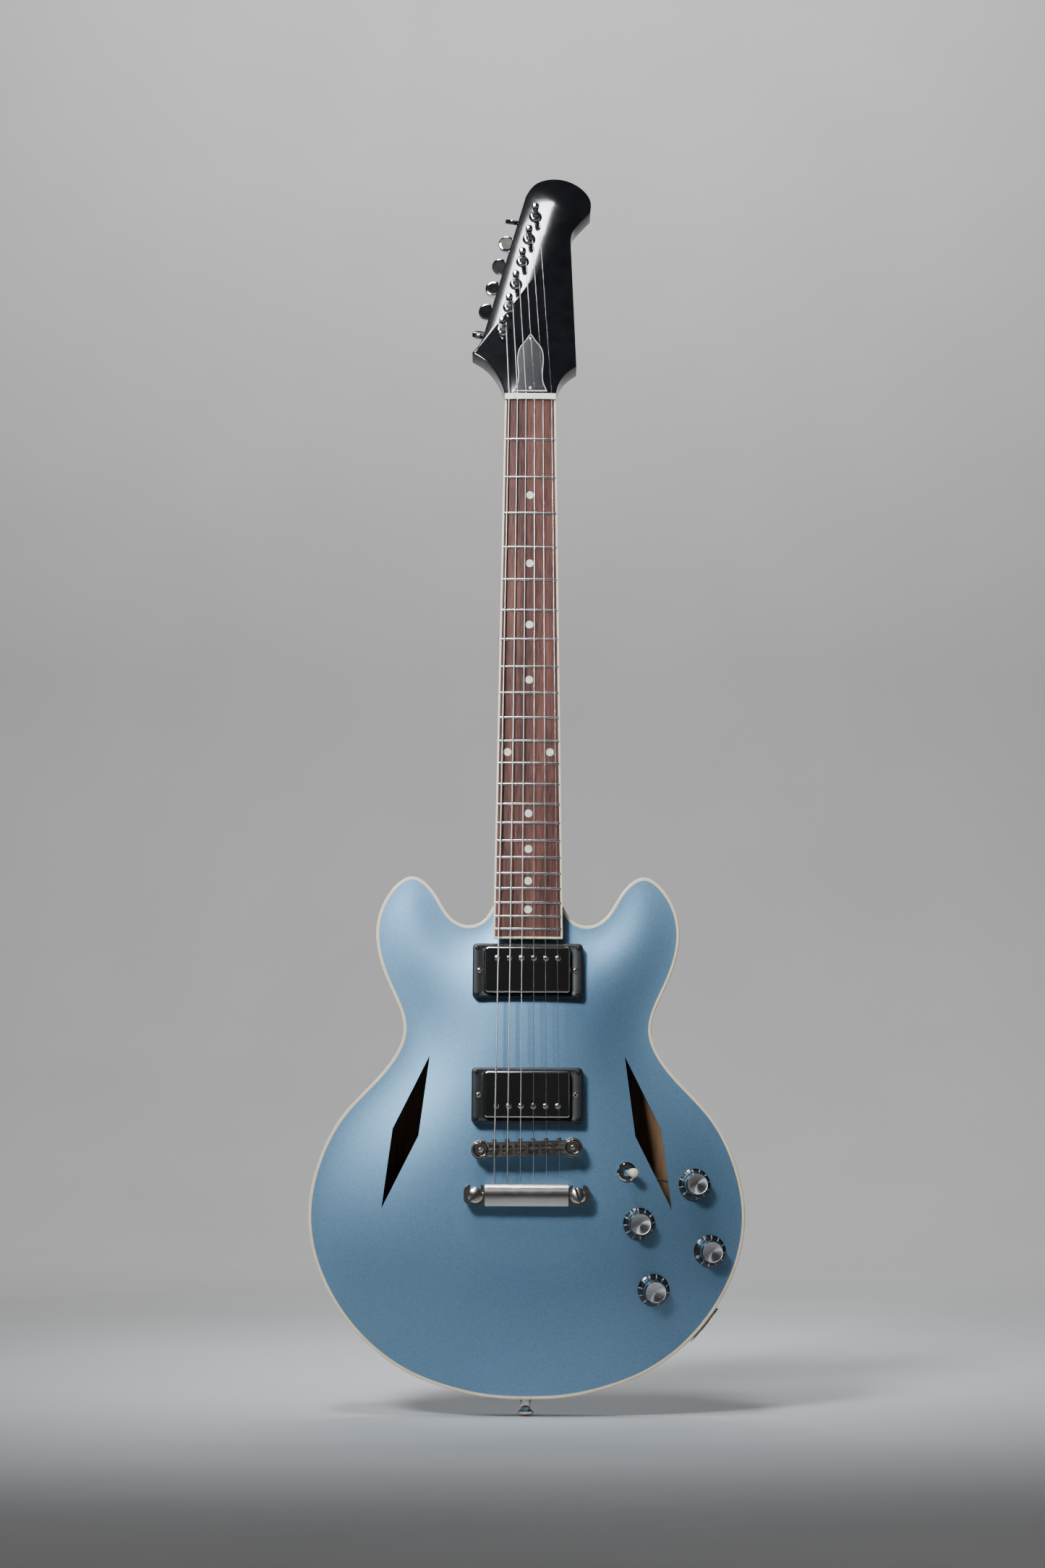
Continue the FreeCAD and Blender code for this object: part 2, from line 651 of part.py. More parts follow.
def pickup_baseplate(row):
    """Bent metal plate behind the coils, with a lug each side for the height screws."""
    plate = rounded_box(67.2, 35.6, 1.5, COVER_DEPTH - 1.2, COVER_DEPTH)
    lugs = [box(side * 38 - 5.5, side * 38 + 5.5, COVER_DEPTH, COVER_DEPTH + 1, -5, 5) for side in (-1, 1)]
    holes = [rod(p, p + V(0, 30, 0), 1.6) for p in pole_places(row)]
    holes += [rod(V(side * 39, 10, 0), V(side * 39, 30, 0), 1.25) for side in (-1, 1)]
    bar = box(-38, 38, COVER_DEPTH, COVER_DEPTH + 1, -5, 5)
    return joined([plate, bar] + lugs).cut(Part.makeCompound(holes))


def pickup_magnet():
    """Bar magnet between the coils and the baseplate."""
    return box(-31, 31, COVER_DEPTH - 6, COVER_DEPTH - 1.2, -6, 6)


RING_FACE = 6.0


def pickup_ring(z):
    """Mounting ring that follows the arch below and the strings above, in the body's frame."""
    width, height = RING_SIZE
    blank = rounded_box(width, height, 3.5, RING_FACE, 34)
    rims = [e for e in blank.Edges if all(abs(v.Y - RING_FACE) < 0.01 for v in e.Vertexes)]
    blank = blank.makeFillet(1.2, rims)
    opening = rounded_box(COVER_SIZE[0] + 1.4, COVER_SIZE[1] + 1.4, 3.0, -1, 40)
    holes = [rod(V(side * 39, 0, 0), V(side * 39, 30, 0), 1.4) for side in (-1, 1)]
    inside = box(-42.3, 42.3, RING_FACE + 2.2, 40, -19.9, 19.9).cut(opening)
    hollow = blank.cut(Part.makeCompound([opening, inside] + holes))
    return placed(hollow, pickup_frame(z)).cut(BELOW_TOP)


def ring_screws(z):
    """Four small screws at the corners of a ring."""
    screws = []
    for x in (-41.2, 41.2):
        for dz in (-18.6, 18.6):
            seat = shifted(x, RING_FACE, dz)
            screws.append(placed(wood_screw(1.9, 0.9, 20), pickup_frame(z).multiply(seat)))
    return screws


def height_screws(z):
    """Two screws that hang the pickup from its ring."""
    return [placed(wood_screw(2.6, 1.25, 18), pickup_frame(z).multiply(shifted(x, RING_FACE, 0)))
            for x in (-39, 39)]


def pickup_cavity(z):
    """Room for a pickup through the top and into the block, in the body's frame."""
    room = box(-36, 36, -30, COVER_DEPTH + 6, -20, 20)
    lugs = box(-44, 44, -30, COVER_DEPTH + 6, -6, 6)
    return placed(joined([room, lugs]), pickup_frame(z))


# ---------------------------------------------------------------- bridge

BRIDGE_TOP = string_plane_y(BRIDGE_Z) + 1.9
BRIDGE = Frame(V(0, BRIDGE_TOP, BRIDGE_Z), Turn(Y_AXIS, -BRIDGE_SLANT))
SADDLE_WIDTH = 7.6
SADDLE_LENGTH = 3.6


def bridge_bar():
    """Cast bar with a window for each saddle and an ear round each post, in the bridge's frame."""
    y1 = BRIDGE_HEIGHT
    middle = box(-34, 34, -1, y1, -BRIDGE_WIDTH / 2, BRIDGE_WIDTH / 2)
    ears = [Part.makeCylinder(BRIDGE_WIDTH / 2 + 0.6, y1 - 1.5, V(s * POST_HALF_SPACING, 1.5, 0), Y_AXIS)
            for s in (-1, 1)]
    cap = Part.makeCylinder(BOARD_RADIUS, 40, V(0, BOARD_RADIUS, -20), Z_AXIS)
    bar = joined([middle.common(cap)] + ears)
    cuts = [rod(V(s * POST_HALF_SPACING, 0, 0), V(s * POST_HALF_SPACING, 20, 0), 2.1) for s in (-1, 1)]
    reach = SADDLE_LENGTH / 2 + SADDLE_TRAVEL + 0.35
    for i in range(6):
        x = (i - 2.5) * SADDLE_SPACING
        half = SADDLE_WIDTH / 2 + 0.3
        cuts.append(box(x - half, x + half, -2, y1 - 2.5, -reach, reach))
        cuts.append(rod(V(x, 3.4, reach - 1), V(x, 3.4, 10), 1.0))
        cuts.append(rod(V(x, 3.4, -reach + 1), V(x, 3.4, -reach - 0.8), 1.0))
    return bar.cut(Part.makeCompound(cuts))


def intonation_screw(index):
    """Screw that runs through one saddle, with its head on the neck side of the bar."""
    x = (index - 2.5) * SADDLE_SPACING
    reach = SADDLE_LENGTH / 2 + SADDLE_TRAVEL + 0.35
    face = BRIDGE_WIDTH / 2
    shank = rod(V(x, 3.4, -reach - 0.8), V(x, 3.4, face + 0.5), 1.0)
    head = rod(V(x, 3.4, face), V(x, 3.4, face + 2.2), 1.9)
    slot = box(x - 3, x + 3, 3.1, 3.7, face + 1.2, face + 3)
    return placed(joined([shank, head]).cut(slot), BRIDGE)


def saddle(index):
    """Saddle block with a sharp crest under its string; slides along its screw."""
    route = string_route(index)
    inward = BRIDGE.inverse()
    crest = inward.multVec(route["crest"])
    top = crest.y + STRING_RADII[index] + SADDLE_GAP
    half, depth = SADDLE_WIDTH / 2, SADDLE_LENGTH / 2
    side_view = [V(-half, top, -0.35), V(-half, top, 0.35), V(-half, top + 2.2, depth),
                 V(-half, BRIDGE_HEIGHT - 2.8, depth), V(-half, BRIDGE_HEIGHT - 2.8, -depth),
                 V(-half, top + 2.2, -depth)]
    block = Part.Face(Part.makePolygon(side_view + side_view[:1])).extrude(V(SADDLE_WIDTH, 0, 0))
    block.translate(V((index - 2.5) * SADDLE_SPACING, 0, 0))
    middle = (index - 2.5) * SADDLE_SPACING
    bore = rod(V(middle, 3.4, -5), V(middle, 3.4, 5), 1.0 + RUN_FIT)
    return placed(block.cut(bore), BRIDGE)


def bridge_posts():
    """Two threaded posts with thumbwheels that set the bridge's height, and screwdriver tops."""
    posts = []
    for side in (-1, 1):
        foot = BRIDGE.multVec(V(side * POST_HALF_SPACING, BRIDGE_HEIGHT, 0))
        wheel = Part.makeCylinder(8.0, 2.2, foot, Y_AXIS)
        stem = Part.makeCylinder(2.0, BRIDGE_HEIGHT + 26, foot - V(0, BRIDGE_HEIGHT - 1.2, 0), Y_AXIS)
        posts.append(joined([wheel, stem]))
    return posts


# ---------------------------------------------------------------- tailpiece

TAIL_FACE = top_y(0, TAIL_Z) - 16.5


def stop_tailpiece():
    """Cast bar with a round front, flat lugs with open slots for the studs, and six string holes."""
    front, back = TAIL_FACE, TAIL_FACE + TAIL_THICK
    half, width = 33.5, TAIL_WIDTH / 2
    section = Part.Wire([
        Part.Arc(V(-half, front + 3.5, TAIL_Z - width), V(-half, front, TAIL_Z),
                 V(-half, front + 3.5, TAIL_Z + width)).toShape(),
        Part.makeLine(V(-half, front + 3.5, TAIL_Z + width), V(-half, back, TAIL_Z + width - 2)),
        Part.makeLine(V(-half, back, TAIL_Z + width - 2), V(-half, back, TAIL_Z - width + 2)),
        Part.makeLine(V(-half, back, TAIL_Z - width + 2), V(-half, front + 3.5, TAIL_Z - width)),
    ])
    middle = Part.Face(section).extrude(V(2 * half, 0, 0))
    lugs = []
    for side in (-1, 1):
        lug = rounded_box(TAIL_LENGTH / 2 - half + 1, TAIL_WIDTH - 1, 5.5, front + 3.2, back - 0.8)
        lug.translate(V(side * (TAIL_LENGTH / 2 + half - 1) / 2, 0, TAIL_Z))
        lugs.append(lug)
    slots = []
    for side in (-1, 1):
        x = side * STUD_HALF_SPACING
        slots.append(rod(V(x, front - 1, TAIL_Z), V(x, back + 1, TAIL_Z), 4.1))
        slots.append(box(x - 4.1, x + 4.1, front - 1, back + 1, TAIL_Z, TAIL_Z + 12))
    holes = []
    for i in range(6):
        ball = string_route(i)["ball"]
        holes.append(rod(ball - V(0, 0, 5), ball + V(0, 0, 2), 2.1))
        holes.append(rod(ball, ball + V(0, 0, 20), 1.1))
    return joined([middle] + lugs).cut(Part.makeCompound(slots + holes))


def tailpiece_studs():
    """Two large slotted studs in threaded inserts."""
    studs = []
    inserts = []
    for side, turn in ((-1, -45), (1, 70)):
        x = side * STUD_HALF_SPACING
        lug_front, lug_back = TAIL_FACE + 3.2, TAIL_FACE + TAIL_THICK - 0.8
        profile = [(0, lug_front - 3), (5.2, lug_front - 3), (6.5, lug_front - 1.8), (6.5, lug_front),
                   (3.9, lug_front), (3.9, lug_back), (6.2, lug_back), (6.2, lug_back + 1.4),
                   (3.0, lug_back + 1.4), (3.0, lug_back + 20), (0, lug_back + 20)]
        stud = turned(profile)
        slot = box(-8, 8, lug_front - 4, lug_front - 1.4, -0.75, 0.75)
        slot.rotate(V(0, 0, 0), Y_AXIS, turn)
        stud = stud.cut(slot)
        stud.translate(V(x, 0, TAIL_Z))
        face = top_y(x, TAIL_Z)
        insert = turned([(3.0, face - 1.0), (6.2, face - 1.0), (6.2, face), (5.6, face), (5.6, face + 18),
                         (3.0, face + 18)])
        insert.translate(V(x, 0, TAIL_Z))
        studs.append(stud)
        inserts.append(insert.cut(stud))
    return studs + inserts


# ---------------------------------------------------------------- controls

def knob(place):
    """Bell-shaped knob with a thin skirt, hollow behind, and the shaft that it turns."""
    r, h = KNOB_RADIUS, KNOB_HEIGHT
    outside = [(0, -h), (8.6, -h), (9.0, -h + 0.6), (9.9, -5), (11.2, -2.6), (r, -1.6), (r, -0.6)]
    inside = [(10.4, -0.6), (8.2, -6), (4.2, -6), (4.2, -1.5), (0, -1.5)]
    cap = turned(outside + inside)
    stem = rod(V(0, -10, 0), V(0, 12, 0), SHAFT_RADIUS)
    frame = top_frame(*place)
    return [placed(cap.cut(stem), frame), placed(stem, frame)]


def potentiometer(place):
    """Round can under the top, with its threaded bushing through the top and three lugs."""
    can = Part.makeCylinder(12, 9, V(0, 8, 0), Y_AXIS)
    bushing = Part.makeCylinder(BUSHING_RADIUS, 9.3, V(0, -1.3, 0), Y_AXIS)
    lugs = box(-6, 6, 8.2, 9.6, -18, -8)
    bore = rod(V(0, -5, 0), V(0, 12.1, 0), SHAFT_RADIUS + RUN_FIT)
    return placed(joined([can, bushing, lugs]).cut(bore), top_frame(*place))


def control_nut(place, radius, bore):
    """Washer and hexagon nut on a bushing, above the top."""
    washer = Part.makeCylinder(radius + 1.2, 0.4, V(0, -0.4, 0), Y_AXIS)
    corners = [V(radius * math.cos(k * math.pi / 3), -1.2, radius * math.sin(k * math.pi / 3)) for k in range(6)]
    hexagon = Part.Face(Part.makePolygon(corners + corners[:1])).extrude(V(0, 0.8, 0))
    hole = rod(V(0, -3, 0), V(0, 3, 0), bore)
    return placed(joined([washer, hexagon]).cut(hole), top_frame(*place))


LEVER_PIVOT = 3.0


def switch_nut():
    """Round knurled nut of the switch, on the top."""
    body = turned([(5.9, -2.4), (6.6, -2.4), (7.8, -1.4), (7.8, 0), (5.9, 0)])
    return placed(body, top_frame(*SWITCH))


def switch_body():
    """Switch under the top: threaded neck, frame, and two stacks of contact leaves."""
    sleeve = turned([(3.7, -2.6), (5.9, -2.6), (5.9, 8), (4.4, 8), (4.4, 6.4), (3.7, 1.4)])
    frame = box(-8, 8, 8, 9.4, -15, 15)
    leaves = [box(-6, 6, 9.4, 27, z, z + 2.4) for z in (-13.5, 11.1)]
    bore = rod(V(0, 5, 0), V(0, 12, 0), 4.4)
    return placed(joined([sleeve, frame] + leaves).cut(bore), top_frame(*SWITCH))


def lever_parts():
    """Switch lever as it rests, leaning to the treble side: pivot ball and pin, stem and cream tip."""
    ball = Part.makeSphere(3.0, V(0, LEVER_PIVOT, 0))
    stem = rod(V(0, LEVER_PIVOT, 0), V(0, LEVER_PIVOT - 15, 0), 1.5)
    tail = rod(V(0, LEVER_PIVOT, 0), V(0, LEVER_PIVOT + 10, 0), 1.5)
    tip = turned([(0, LEVER_PIVOT - 20.5), (2.2, LEVER_PIVOT - 20.1), (3.8, LEVER_PIVOT - 18.2),
                  (3.8, LEVER_PIVOT - 15), (2.5, LEVER_PIVOT - 8), (0, LEVER_PIVOT - 8)])
    pin = rod(V(0, LEVER_PIVOT, 0) - LEVER_AXIS * 3.6, V(0, LEVER_PIVOT, 0) + LEVER_AXIS * 3.6, 1.0)
    lever = joined([ball, stem, tail, pin]).cut(tip)
    lean = Frame(V(0, 0, 0), Turn(LEVER_AXIS, LEVER_LEAN), V(0, LEVER_PIVOT, 0))
    return [placed(placed(s, lean), top_frame(*SWITCH)) for s in (lever, tip)]


LEVER_AXIS = V(0.3, 0, 1).normalize()


def jack_place():
    """Point on the lower treble edge where the output jack sits, and the outward direction there."""
    return min(((p, inward * -1) for p, inward in outline_points(400)),
               key=lambda pair: abs(pair[0].x - JACK_X) + (1000 if pair[0].z > 150 else 0))


def jack_frame():
    """Frame of the jack: y points out of the body, x along its edge and z through its depth."""
    point, outward = jack_place()
    return Frame(point, Turn(outward.cross(Y_AXIS), outward, Y_AXIS, "YXZ"))


def output_jack():
    """Jack barrel with its nut, and the bent contact arm behind it."""
    barrel = Part.makeCylinder(4.7, 12, V(0, -9, 0), Y_AXIS)
    flange = Part.makeCylinder(8, 2, V(0, -9, 0), Y_AXIS)
    corners = [V(6.6 * math.cos(k * math.pi / 3), 1.6, 6.6 * math.sin(k * math.pi / 3)) for k in range(6)]
    nut = Part.Face(Part.makePolygon(corners + corners[:1])).extrude(V(0, 1.4, 0))
    arm = joined([box(4, 7, -30, -8, -2.5, 2.5), box(-2, 7, -30.8, -29, -2.5, 2.5)])
    bore = rod(V(0, -12, 0), V(0, 5, 0), PLUG_RADIUS)
    return placed(joined([barrel, flange, nut, arm]).cut(bore), jack_frame())


def jack_plate():
    """Square plate that fits the curved side, with four screw holes and the jack's hole."""
    plate = rounded_box(34, 34, 4, -3, 1.6).cut(rod(V(0, -5, 0), V(0, 5, 0), 4.7))
    seat = body_prism(0, -40, 40)
    return placed(plate, jack_frame()).cut(seat)


def jack_screws():
    """Four screws of the jack plate."""
    return [placed(wood_screw(2.6, 1.2, 8), jack_frame().multiply(Frame(V(x, 1.6, z), Turn(X_AXIS, 180))))
            for x in (-13, 13) for z in (-13, 13)]


def strap_button(frame):
    """Strap button with its long screw: y points into the wood."""
    body = turned([(0, -13.5), (5.0, -13.5), (7.2, -12.4), (7.2, -11), (4.2, -8.6), (4.0, -4), (6.0, -1.2),
                   (6.6, 0), (0, 0)])
    screw = turned([(0, -14.8), (2.5, -14.3), (3.6, -13.2), (1.9, -11.2), (1.9, 20), (0, 23)])
    return [placed(body.cut(screw), frame), placed(screw, frame)]


def wires():
    """Insulated leads between the controls and the jack, under the top."""
    ends = [top_frame(*place).multVec(V(0, 19, 0)) for place in KNOBS]
    switch_end = top_frame(*SWITCH).multVec(V(0, 33, 0))
    jack_end = jack_frame().multVec(V(0, -33, 0))
    pairs = [(ends[0], ends[2]), (ends[1], ends[3]), (ends[0], switch_end), (ends[1], switch_end),
             (ends[2], jack_end)]
    return [rod(a, b, 0.9) for a, b in pairs]


# ---------------------------------------------------------------- assembly

def export(name, solids):
    """Write one node: a single solid or a group of separate ones."""
    shape = solids[0] if len(solids) == 1 else Part.makeCompound(solids)
    shape.exportStep(f"parts/{name}.step")


def main():
    os.makedirs("parts", exist_ok=True)
    pickups = [(NECK_PICKUP_Z, 1), (BRIDGE_PICKUP_Z, -1)]

    strings = [guitar_string(i) for i in range(6)]
    dots = position_dots()
    frets = [fret(n) for n in range(1, FRET_COUNT + 1)]
    wood_board = board_block(BOARD_BINDING, BOARD_BINDING, BOARD_LENGTH)
    edge_board = board_block(0, 0, BOARD_LENGTH).cut(wood_board)
    wood_board = wood_board.cut(Part.makeCompound(frets + dots))
    edge_board = edge_board.cut(Part.makeCompound(frets))

    tuners = [tuner_frame(i) for i in range(6)]
    bushings = [placed(tuner_bushing(), f) for f in tuners]
    post_holes = [placed(rod(V(0, -1, 0), V(0, HEAD_THICK + 1, 0), BUSHING_BORE), f) for f in tuners]
    tuner_fixings = [s for i in range(6) for s in tuner_screws(i)]
    cover_fixings = [placed(wood_screw(1.9, 0.9, length), HEAD.multiply(shifted(0, -2, z)))
                     for z, length in ((6.6, 4.8), (58.5, 8))]
    rod_in_place = placed(truss_rod(), NECK)
    pocket = placed(truss_pocket(), HEAD)
    veneer = placed(headstock_plate(0, VENEER), HEAD).cut(placed(nut_blank(), NECK))
    face_cuts = Part.makeCompound(bushings + post_holes + [pocket] + cover_fixings)
    neck = placed(neck_body(), NECK)
    slots = [rod(route["nut"] - (route["leave"] - route["nut"]), route["leave"] * 2 - route["nut"], radius)
             for route, radius in zip(map(string_route, range(6)), STRING_RADII)]
    nut = placed(nut_blank(), NECK).cut(Part.makeCompound(slots))

    top, back, block, sides = body_top(), body_back(), centre_block(), rim()
    lining = kerfed_lining()
    studs = tailpiece_studs()
    bridge_stems = bridge_posts()
    cavities = [pickup_cavity(z) for z, _ in pickups]
    ring_fixings = [s for z, _ in pickups for s in ring_screws(z)]
    lifts = [s for z, _ in pickups for s in height_screws(z)]
    rings = [pickup_ring(z).cut(Part.makeCompound(ring_fixings)) for z, _ in pickups]
    stud_ends = [V(s * STUD_HALF_SPACING, -60, TAIL_Z) for s in (-1, 1)]
    stud_holes = [rod(p, V(p.x, top_y(0, TAIL_Z) + 24, p.z), 5.6) for p in stud_ends]
    control_holes = [placed(rod(V(0, -10, 0), V(0, 12, 0), BUSHING_RADIUS), top_frame(*p)) for p in KNOBS]
    control_holes.append(placed(rod(V(0, -10, 0), V(0, 12, 0), 5.9), top_frame(*SWITCH)))
    tail_button = strap_button(Frame(V(0, 0, 0), Turn(X_AXIS, 90)))
    heel_y = BACK + BACK_ARCH * arch(0, 378)
    heel_button = strap_button(Frame(V(0, heel_y, 378), Turn(X_AXIS, 180)))
    jack_hole = placed(rod(V(0, -20, 0), V(0, 5, 0), 10), jack_frame())
    jack_fixings = jack_screws()
    tools = cavities + stud_holes + bridge_stems + ring_fixings + tail_button + heel_button
    body_cuts = Part.makeCompound(tools)

    export("body_top", [top.cut(body_cuts).cut(Part.makeCompound(control_holes)).cut(neck)])
    export("body_back", [back.cut(neck).cut(Part.makeCompound(heel_button))])
    side_cuts = Part.makeCompound([jack_hole] + jack_fixings + tail_button)
    export("rim", [s.cut(side_cuts).cut(neck) for s in sides])
    export("centre_block", [block.cut(body_cuts).cut(neck)])
    export("kerfed_lining", [s.cut(block).cut(jack_hole).cut(Part.makeCompound(jack_fixings)) for s in lining])
    export("body_bindings", [s.cut(Part.makeCompound([neck] + tail_button)) for s in body_bindings()])

    export("neck", [neck.cut(face_cuts).cut(rod_in_place).cut(Part.makeCompound(tuner_fixings))])
    export("headstock_veneer", [veneer.cut(face_cuts)])
    export("fretboard", [placed(wood_board, NECK)])
    export("fretboard_binding", [placed(edge_board, NECK)])
    export("frets", [placed(f, NECK) for f in frets])
    export("position_dots", [placed(d, NECK) for d in dots])
    export("nut", [nut])
    export("truss_rod", [rod_in_place])
    export("truss_rod_cover", [placed(truss_rod_cover(), HEAD).cut(Part.makeCompound(cover_fixings))])

    export("strings", strings)
    export("tuner_bushings", bushings)
    housings = [placed(tuner_housing(), f).cut(Part.makeCompound(tuner_fixings)) for f in tuners]
    export("tuner_housings", housings)
    for i, frame in enumerate(tuners, 1):
        export(f"tuner_post_{i}", [placed(tuner_post(), frame)])
        export(f"tuner_key_{i}", [placed(tuner_key(KEY_TURNS[i - 1]), frame)])

    export("pickup_rings", rings)
    export("pickup_covers", [placed(pickup_cover(row), pickup_frame(z)) for z, row in pickups])
    export("pickup_bobbins", [placed(b, pickup_frame(z)) for z, row in pickups for b in pickup_bobbins(row)])
    poles = [placed(pole_screw(p), pickup_frame(z)) for z, row in pickups for p in pole_places(row)]
    export("pickup_pole_screws", poles)
    magnets = [placed(pickup_magnet(), pickup_frame(z)).cut(Part.makeCompound(poles)) for z, _ in pickups]
    plates = [placed(pickup_baseplate(row), pickup_frame(z)) for z, row in pickups]
    export("pickup_baseplates", plates + magnets)
    export("pickup_height_screws", lifts)
    export("wood_screws", ring_fixings + cover_fixings + tuner_fixings + jack_fixings)

    bar = placed(bridge_bar(), BRIDGE)
    export("bridge_bar", [bar.cut(Part.makeCompound(bridge_stems))])
    export("bridge_posts", bridge_stems)
    export("intonation_screws", [intonation_screw(i) for i in range(6)])
    for i in range(6):
        export(f"saddle_{i + 1}", [saddle(i)])
    export("stop_tailpiece", [stop_tailpiece().cut(Part.makeCompound(studs))])
    export("tailpiece_studs", studs)

    for i, place in enumerate(KNOBS, 1):
        export(f"knob_{i}", knob(place))
    export("potentiometers", [potentiometer(p) for p in KNOBS])
    nuts = [control_nut(p, 6.4, BUSHING_RADIUS) for p in KNOBS] + [switch_nut()]
    export("control_nuts", [n.cut(BELOW_TOP) for n in nuts])
    export("toggle_lever", lever_parts())
    export("switch_body", [switch_body()])
    export("output_jack", [output_jack()])
    export("jack_plate", [jack_plate().cut(Part.makeCompound(jack_fixings))])
    export("strap_buttons", tail_button + heel_button)
    export("wiring", wires())


main()
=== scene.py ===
import json
import math

import bmesh
import bpy
import numpy as np
from mathutils import Matrix, Vector
from mathutils.geometry import delaunay_2d_cdt


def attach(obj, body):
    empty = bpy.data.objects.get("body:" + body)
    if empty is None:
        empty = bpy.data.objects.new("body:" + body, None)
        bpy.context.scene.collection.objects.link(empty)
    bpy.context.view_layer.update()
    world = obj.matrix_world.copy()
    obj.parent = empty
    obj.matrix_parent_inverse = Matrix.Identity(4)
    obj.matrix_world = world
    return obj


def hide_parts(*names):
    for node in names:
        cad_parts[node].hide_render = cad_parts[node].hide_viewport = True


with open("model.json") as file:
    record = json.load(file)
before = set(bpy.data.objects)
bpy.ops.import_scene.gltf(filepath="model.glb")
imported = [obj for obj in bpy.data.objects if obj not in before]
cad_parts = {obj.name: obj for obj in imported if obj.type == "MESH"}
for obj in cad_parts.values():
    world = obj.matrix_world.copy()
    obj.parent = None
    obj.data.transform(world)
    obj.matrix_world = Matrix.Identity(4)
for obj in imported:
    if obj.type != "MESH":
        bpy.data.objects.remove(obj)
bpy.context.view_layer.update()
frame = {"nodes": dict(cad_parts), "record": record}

MM = 0.001

# ---------------------------------------------------------------- sizes, in millimetres
# The same frame as the CAD part: +Z up the neck, strings on -Y, +X on the treble side.

RIM_DEPTH = 42.0
FRONT = -RIM_DEPTH / 2
BACK = RIM_DEPTH / 2
PLATE = 5.0
TOP_ARCH = 10.5
BACK_ARCH = 8.0
ARCH_RUN = 90.0
BINDING = 2.6
RIM_WALL = 5.0
NECK_JOINT_Z = 396.5
HALF_OUTLINE = [
    (31, 1.5), (62, 8), (91, 18.5), (118, 35), (154, 74.3), (173.4, 118), (176.9, 147), (170.5, 185),
    (150, 226), (118, 261), (101.3, 295), (113.2, 331), (124.2, 367), (117.5, 402), (94.5, 421),
    (75.5, 406), (62, 386.5), (48.5, 381), (36, 386), (29.2, NECK_JOINT_Z),
]
SOUND_HOLE = [(79.4, 274.5), (87.8, 209.5), (117.2, 151), (109, 215)]

NECK_ANGLE = 3.3
BOARD_END_Z = 369.0
BOARD_RISE = 17.0
BOARD_LENGTH = 460.0
BOARD_THICK = 6.0
BOARD_RADIUS = 305.0
SCALE_LENGTH = 628.65
NUT_WIDTH = 43.05
NUT_THICK = 5.0
TAPER = 0.02964
NUT_DEPTH = 15.0
SHAFT_DEPTH = 19.6
HEEL_DEPTH = 48.0
HEEL_TOP = 34.0
SHAFT_START = 106.0
HEEL_FOOT = 22.0

HEAD_ANGLE = 17.0
HEAD_DROP = 4.5
VENEER = 1.5
HEAD_THICK = 15.5
TUNER_TILT = 12.6
TUNER_PITCH = 25.58
FIRST_TUNER = (-24.0, 68.4)
KEY_OFFSET = 6.4
KEY_DEPTH = HEAD_THICK + 5.2
BUTTON_REACH = 21.5
KEY_TURNS = [-40, 36, 10, 44, 20, -52]
POST_RADIUS = 3.1

STRING_RADII = [0.58, 0.46, 0.33, 0.22, 0.17, 0.13]
WRAP_Y = -9.0
WOUND_STRINGS = 3
NUT_SPACING = 7.2
SADDLE_SPACING = 10.4
NUT_HEIGHT = 1.7
STRING_RISE = 3.4
SADDLE_COMPENSATION = [4.0, 3.2, 2.4, 2.6, 1.8, 1.0]
SADDLE_TRAVEL = 2.0

PICKUPS = [(343.5, 1), (242.5, -1)]
RING_SIZE = (90.0, 45.0)
RING_FACE = 6.0
COVER_SIZE = (69.0, 37.5)
COVER_DEPTH = 19.0
COVER_TO_STRING = 3.4

BRIDGE_Z = 199.2
BRIDGE_RISE = 1.9
BRIDGE_SLANT = 1.8
POST_HALF_SPACING = 37.0
TAIL_Z = 162.3

KNOBS = [(135.5, 171.2), (90.5, 139.8), (147.8, 118.2), (102.3, 87.2)]
KNOB_TURNS = [20, -35, 95, 10]
SWITCH = (80.6, 181.2)
KNOB_HEIGHT = 14.5
LEVER_LEAN = 16.0
LEVER_PIVOT = 3.0

# ---------------------------------------------------------------- frames


def turn(degrees, axis):
    """Rotation about an axis, as a 4x4 matrix."""
    return Matrix.Rotation(math.radians(degrees), 4, axis)


def move(x, y, z):
    """Translation in millimetres, as a 4x4 matrix."""
    return Matrix.Translation((x, y, z))


HERE = Matrix.Identity(4)
NECK = move(0, FRONT - BOARD_RISE, BOARD_END_Z) @ turn(-NECK_ANGLE, "X")
HEAD = NECK @ move(0, HEAD_DROP, BOARD_LENGTH + NUT_THICK) @ turn(-HEAD_ANGLE, "X")


def tuner_frame(index):
    """A tuner's frame: z along the row, -x towards its button, y into the wood."""
    tilt = math.radians(TUNER_TILT)
    along = TUNER_PITCH * index
    x, z = FIRST_TUNER[0] + along * math.sin(tilt), FIRST_TUNER[1] + along * math.cos(tilt)
    return HEAD @ move(x, 0, z) @ turn(TUNER_TILT, "Y")


# ---------------------------------------------------------------- body shape

